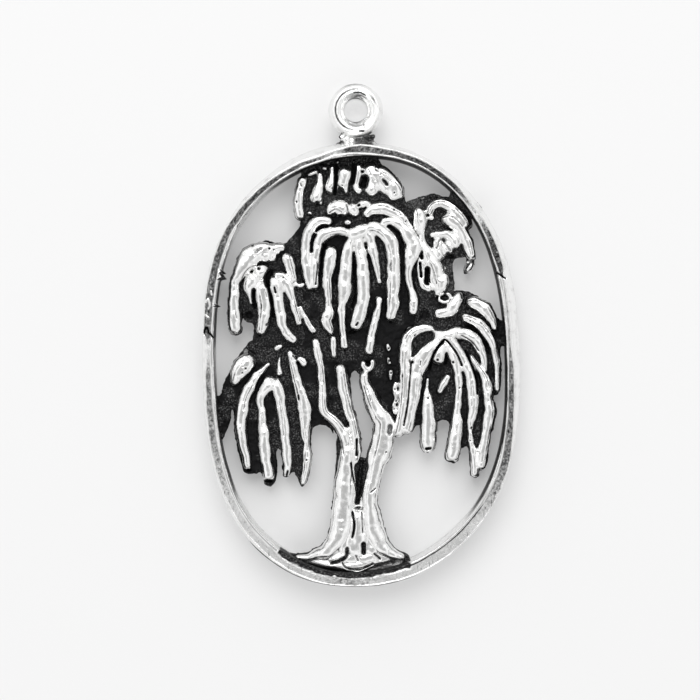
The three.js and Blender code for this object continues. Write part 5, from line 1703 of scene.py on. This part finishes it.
def trunk_and_boughs() -> Foliage:
    """The trunk on its flared roots, its two stems and the three boughs that carry the crown."""
    return Foliage("trunk_and_boughs", ["trunk", "left_bough", "centre_bough", "right_bough"],
        black=0.98, seed=18, voxel=0.062, fullness=0.55, sheet=[
        (-6.9, -17.0), (-5.6, -17.6), (-4.0, -17.7), (-2.9, -17.2), (-2.2, -16.2), (-2.0, -13.0),
        (-1.3, -12.0), (-0.9, -10.1), (0.55, -10.1), (0.9, -12.0), (1.3, -14.5), (2.0, -16.4), (2.9, -17.3),
        (3.9, -17.9), (3.4, -19.2), (0.5, -19.6), (-2.5, -19.6), (-4.8, -19.1),
    ], ridges=[
        Ridge([(-3.7, -0.3), (-3.5, -1.3), (-3.25, -2.5), (-3.1, -3.9), (-3.05, -5.1), (-3.0, -5.9),
            (-2.75, -6.4), (-2.15, -6.9), (-1.65, -7.45), (-1.3, -8.1), (-1.05, -9.1), (-0.95, -10.5),
            (-1.1, -12.1), (-1.2, -13.7)], (0.4, 0.56, 0.54, 0.54, 0.54, 0.6, 0.62, 0.62, 0.66, 0.72, 0.82,
            0.95, 1.1, 1.2), lift=0.1, seam=0.5),
        Ridge([(-1.8, -2.3), (-1.6, -3.1), (-1.45, -4.1), (-1.2, -5.3), (-0.85, -6.5), (-0.6, -7.5),
            (-0.45, -8.3), (-0.35, -9.3), (-0.5, -10.5)], (0.6, 0.76, 0.72, 0.68, 0.64, 0.64, 0.6, 0.52,
            0.44), lift=0.1, seam=0.55),
        Ridge([(0.2, -2.9), (0.3, -3.7), (0.6, -4.7), (1.0, -5.7), (1.45, -6.5), (1.85, -7.1), (1.8, -8.1),
            (1.6, -9.1), (1.3, -10.1), (1.0, -11.3), (0.75, -12.5), (0.6, -13.9)], (0.5, 0.62, 0.8, 1.0, 1.2,
            1.35, 1.4, 1.3, 1.05, 0.85, 0.9, 0.95), lift=0.1, seam=-0.5),
        Ridge([(-1.0, -8.7), (-1.15, -10.5), (-1.3, -12.1), (-1.4, -14.1), (-1.65, -15.7), (-2.25, -16.85),
            (-3.1, -17.5), (-4.3, -17.8), (-5.3, -17.8)], (0.8, 1.05, 1.2, 1.3, 1.4, 1.3, 1.0, 0.55, 0.28),
            lift=0.15),
        Ridge([(0.8, -11.3), (0.7, -12.5), (0.75, -14.1), (1.05, -15.7), (1.65, -16.9), (2.5, -17.55),
            (3.5, -17.85)], (0.75, 0.85, 1.0, 1.25, 1.2, 0.8, 0.35), lift=0.15),
        Ridge([(-0.3, -13.9), (-0.3, -15.3), (-0.35, -17.1), (-0.4, -18.2)], (0.6, 1.3, 1.8, 2.0), lift=0.1),
        Ridge([(-5.3, -17.9), (-4.1, -18.1), (-2.5, -18.4), (-1.1, -18.5), (0.5, -18.35), (1.9, -18.0),
            (3.2, -17.85)], (0.25, 0.4, 0.55, 0.65, 0.65, 0.55, 0.3)),
        Ridge([(-1.3, -18.7), (-0.15, -18.85), (0.9, -18.4)], (0.18, 0.2, 0.16), lift=0.05),
        Ridge([(-1.55, -7.5), (-0.85, -7.9)], (0.55, 0.55), lift=0.08),
        Ridge([(-1.5, -7.5), (-1.55, -8.7), (-1.65, -10.1), (-1.85, -11.5), (-2.0, -13.0)],
            (0.4, 0.6, 0.5, 0.4, 0.25), lift=-0.5),
        Ridge([(-0.85, -10.5), (-0.7, -11.7), (-0.55, -12.9), (-0.35, -13.9)], (0.3, 0.36, 0.44, 0.5),
            lift=-0.02),
        Ridge([(0.45, -12.0), (0.2, -12.9), (-0.1, -13.9)], (0.2, 0.36, 0.44), lift=-0.02),
        Ridge([(1.85, -7.35), (2.05, -7.0), (2.45, -7.05), (2.7, -7.35)], (0.2, 0.26, 0.26, 0.2), lift=0.1),
        Ridge([(-1.15, -16.0), (-1.45, -17.1), (-1.8, -17.75)], (0.7, 0.9, 0.6), lift=-0.06),
        Ridge([(0.45, -16.0), (0.8, -17.1), (1.45, -17.8)], (0.7, 0.9, 0.6), lift=-0.06),
        Ridge([(-3.5, -18.0), (-2.3, -17.9), (-1.3, -17.85), (-0.1, -17.9), (1.1, -17.85), (2.1, -17.9),
            (2.95, -17.9)], (0.4, 0.75, 0.9, 0.9, 0.9, 0.7, 0.4), lift=-0.1),
    ], grooves=[
        Groove([(-0.35, -8.4), (-0.35, -9.65)], 0.15, 0.4),
        Groove([(-0.8, -10.3), (-0.7, -11.1), (-0.55, -11.8)], 0.12, 0.35, 0.9),
        Groove([(-0.7, -14.2), (-0.55, -14.9), (-0.55, -15.5), (-0.7, -16.2)], 0.15, 0.4),
        Groove([(0.05, -14.2), (0.1, -15.1), (0.15, -15.9)], 0.08, 0.2, 0.8),
        Groove([(2.0, -9.4)], 0.12, 0.3), Groove([(0.75, -12.6), (1.15, -12.3)], 0.09, 0.2, 0.8),
        Groove([(-3.2, -3.1), (-3.15, -3.9)], 0.06, 0.1, 0.6),
        Groove([(0.5, -4.4), (0.8, -5.3)], 0.07, 0.1, 0.6),
        Groove([(-1.6, -8.5), (-1.35, -9.7)], 0.07, 0.1, 0.6),
        Groove([(0.2, -16.75), (0.2, -17.4)], 0.28, 0.5, 0.9),
        Groove([(0.05, -10.3), (-0.1, -11.5), (-0.2, -12.7), (-0.3, -13.45)], 0.26, 0.9, 0.8),
        Groove([(2.3, -7.4), (2.25, -7.85)], 0.36, 0.35, 0.62),
        Groove([(-4.7, -18.2), (-2.5, -18.9), (-0.3, -19.0), (1.5, -18.55), (2.9, -18.1)], 0.85, 0.0, -0.5),
        Groove([(-1.1, -17.1), (-1.15, -17.65), (-1.55, -18.0), (-2.35, -18.25)], 0.24, 0.3, 0.78),
        Groove([(1.1, -17.55), (1.5, -17.9)], 0.18, 0.25, 0.78),
        Groove([(-1.5, -18.25), (-1.15, -18.65), (-0.15, -18.8), (0.9, -18.35)], 0.13, 0.2, 0.75),
        Groove([(-0.4, -17.7), (-0.25, -18.05)], 0.1, 0.2, 0.7),
    ])


# Stage


@dataclass
class Studio:
    """A pale floor, soft light from all round and above, and a camera straight over the pendant.

    The camera's aim and field are millimetres, and the places of lamps and the floor's size metres.
    overhead, canopy and surround are the room's brightness straight up, higher up and at the sides,
    and its spans are in the height of the direction, from 0 at the horizon to 1 straight up.
    """

    aim: Point = (-0.88, -1.28)
    field: float = 56.0
    lens: float = 100.0
    sensor: float = 36.0
    floor_size: float = 4.0
    floor_tone: float = 0.64
    floor_glow: float = 0.17
    floor_roughness: float = 0.9
    floor_specular: float = 0.1
    overhead: float = 0.47
    overhead_span: Span = (0.985, 0.82)
    canopy: float = 1.13
    canopy_span: Span = (0.8, 0.5)
    surround: float = 0.9
    lean: Triple = (-0.05, 0.085, 0.0)
    key_energy: float = 0.85
    key_size: float = 0.36
    key_place: Triple = (-0.02, 0.27, 0.36)
    pin_energy: float = 1.3
    pin_spread: float = 1.0
    pin_softness: float = 0.001
    pin_place: Triple = (-0.0009, -0.003, 0.33)
    pin_aim: Triple = (-0.00042, 0.0179, 0.0)

    def build(self) -> None:
        """Set up the floor, the lights and the camera."""
        self._floor()
        self._world()
        self._key()
        self._pin()
        self._camera()

    def _floor(self) -> None:
        """A plain pale floor that the back of the rim lies on."""
        half = self.floor_size / 2.0
        mesh = bpy.data.meshes.new("floor")
        corners = [(-half, -half, 0), (half, -half, 0), (half, half, 0), (-half, half, 0)]
        mesh.from_pydata(corners, [], [(0, 1, 2, 3)])
        material = bpy.data.materials.new("floor_paper")
        material.use_nodes = True
        shader = material.node_tree.nodes["Principled BSDF"].inputs
        shader["Base Color"].default_value = (*[self.floor_tone] * 3, 1.0)
        shader["Roughness"].default_value = self.floor_roughness
        shader["Specular IOR Level"].default_value = self.floor_specular
        shader["Emission Color"].default_value = (1.0, 1.0, 1.0, 1.0)
        shader["Emission Strength"].default_value = self.floor_glow
        mesh.materials.append(material)
        placed("floor", mesh)

    def _world(self) -> None:
        """Soft light, greyer straight overhead and at the sides, and a little brighter on one side."""
        world = bpy.data.worlds.new("soft_room")
        bpy.context.scene.world = world
        world.use_nodes = True
        nodes = Nodes(world.node_tree)
        direction = nodes.add("ShaderNodeTexCoord").outputs["Generated"]
        up = nodes.add("ShaderNodeSeparateXYZ", Vector=direction).outputs["Z"]
        zenith = nodes.ease(up, self.overhead_span, (self.overhead, self.canopy))
        sides = nodes.ease(up, self.canopy_span, (0.0, self.canopy - self.surround))
        lean = nodes.vector("DOT_PRODUCT", direction, self.lean).outputs["Value"]
        tilt = nodes.calc("ADD", lean, 1.0)
        background = world.node_tree.nodes["Background"].inputs
        background["Color"].default_value = (1.0, 1.0, 1.0, 1.0)
        strength = nodes.calc("MULTIPLY", nodes.calc("SUBTRACT", zenith, sides), tilt)
        nodes.feed(background["Strength"], strength)

    def _key(self) -> None:
        """A broad soft lamp beyond the top of the pendant."""
        lamp = bpy.data.lights.new("key", "AREA")
        lamp.shape = "DISK"
        lamp.size = self.key_size
        lamp.energy = self.key_energy
        self._aim_lamp(lamp, self.key_place, (0.0, 0.0, 0.0))

    def _pin(self) -> None:
        """A small lamp overhead that lights the floor inside the hanging ring."""
        lamp = bpy.data.lights.new("pin", "SPOT")
        lamp.spot_size = math.radians(self.pin_spread)
        lamp.spot_blend = 1.0
        lamp.shadow_soft_size = self.pin_softness
        lamp.energy = self.pin_energy
        self._aim_lamp(lamp, self.pin_place, self.pin_aim)

    def _aim_lamp(self, lamp: bpy.types.Light, place: Triple, aim: Triple) -> None:
        """Put a lamp in the scene and turn it to what it lights."""
        holder = placed(lamp.name, lamp)
        holder.location = place
        towards = Vector(aim) - Vector(place)
        holder.rotation_euler = towards.to_track_quat("-Z", "Y").to_euler()

    def _camera(self) -> None:
        """A camera straight down, its field as wide as asked at the height of the tree."""
        camera = bpy.data.cameras.new("camera")
        camera.lens = self.lens
        camera.sensor_width = self.sensor
        camera.clip_start = 0.01
        distance = self.field * self.lens / self.sensor
        holder = placed("camera", camera)
        holder.location = (self.aim[0] * MM, self.aim[1] * MM, (distance + Layer.SHEET.value) * MM)
        bpy.context.scene.camera = holder
        bpy.context.scene.view_settings.view_transform = "Standard"


def main() -> None:
    """Build the pendant and its stage in order."""
    logging.basicConfig(level=logging.INFO, format="%(name)s: %(message)s")
    Studio().build()
    Rim().build()
    HangingRing().build()
    for make in (
        ring_neck,
        crown_top,
        crown_middle,
        crown_falls,
        upper_left_mass,
        lower_left_mass,
        upper_right_mass,
        lower_right_mass,
        trunk_and_boughs,
    ):
        make().build()


if __name__ == "__main__":
    main()
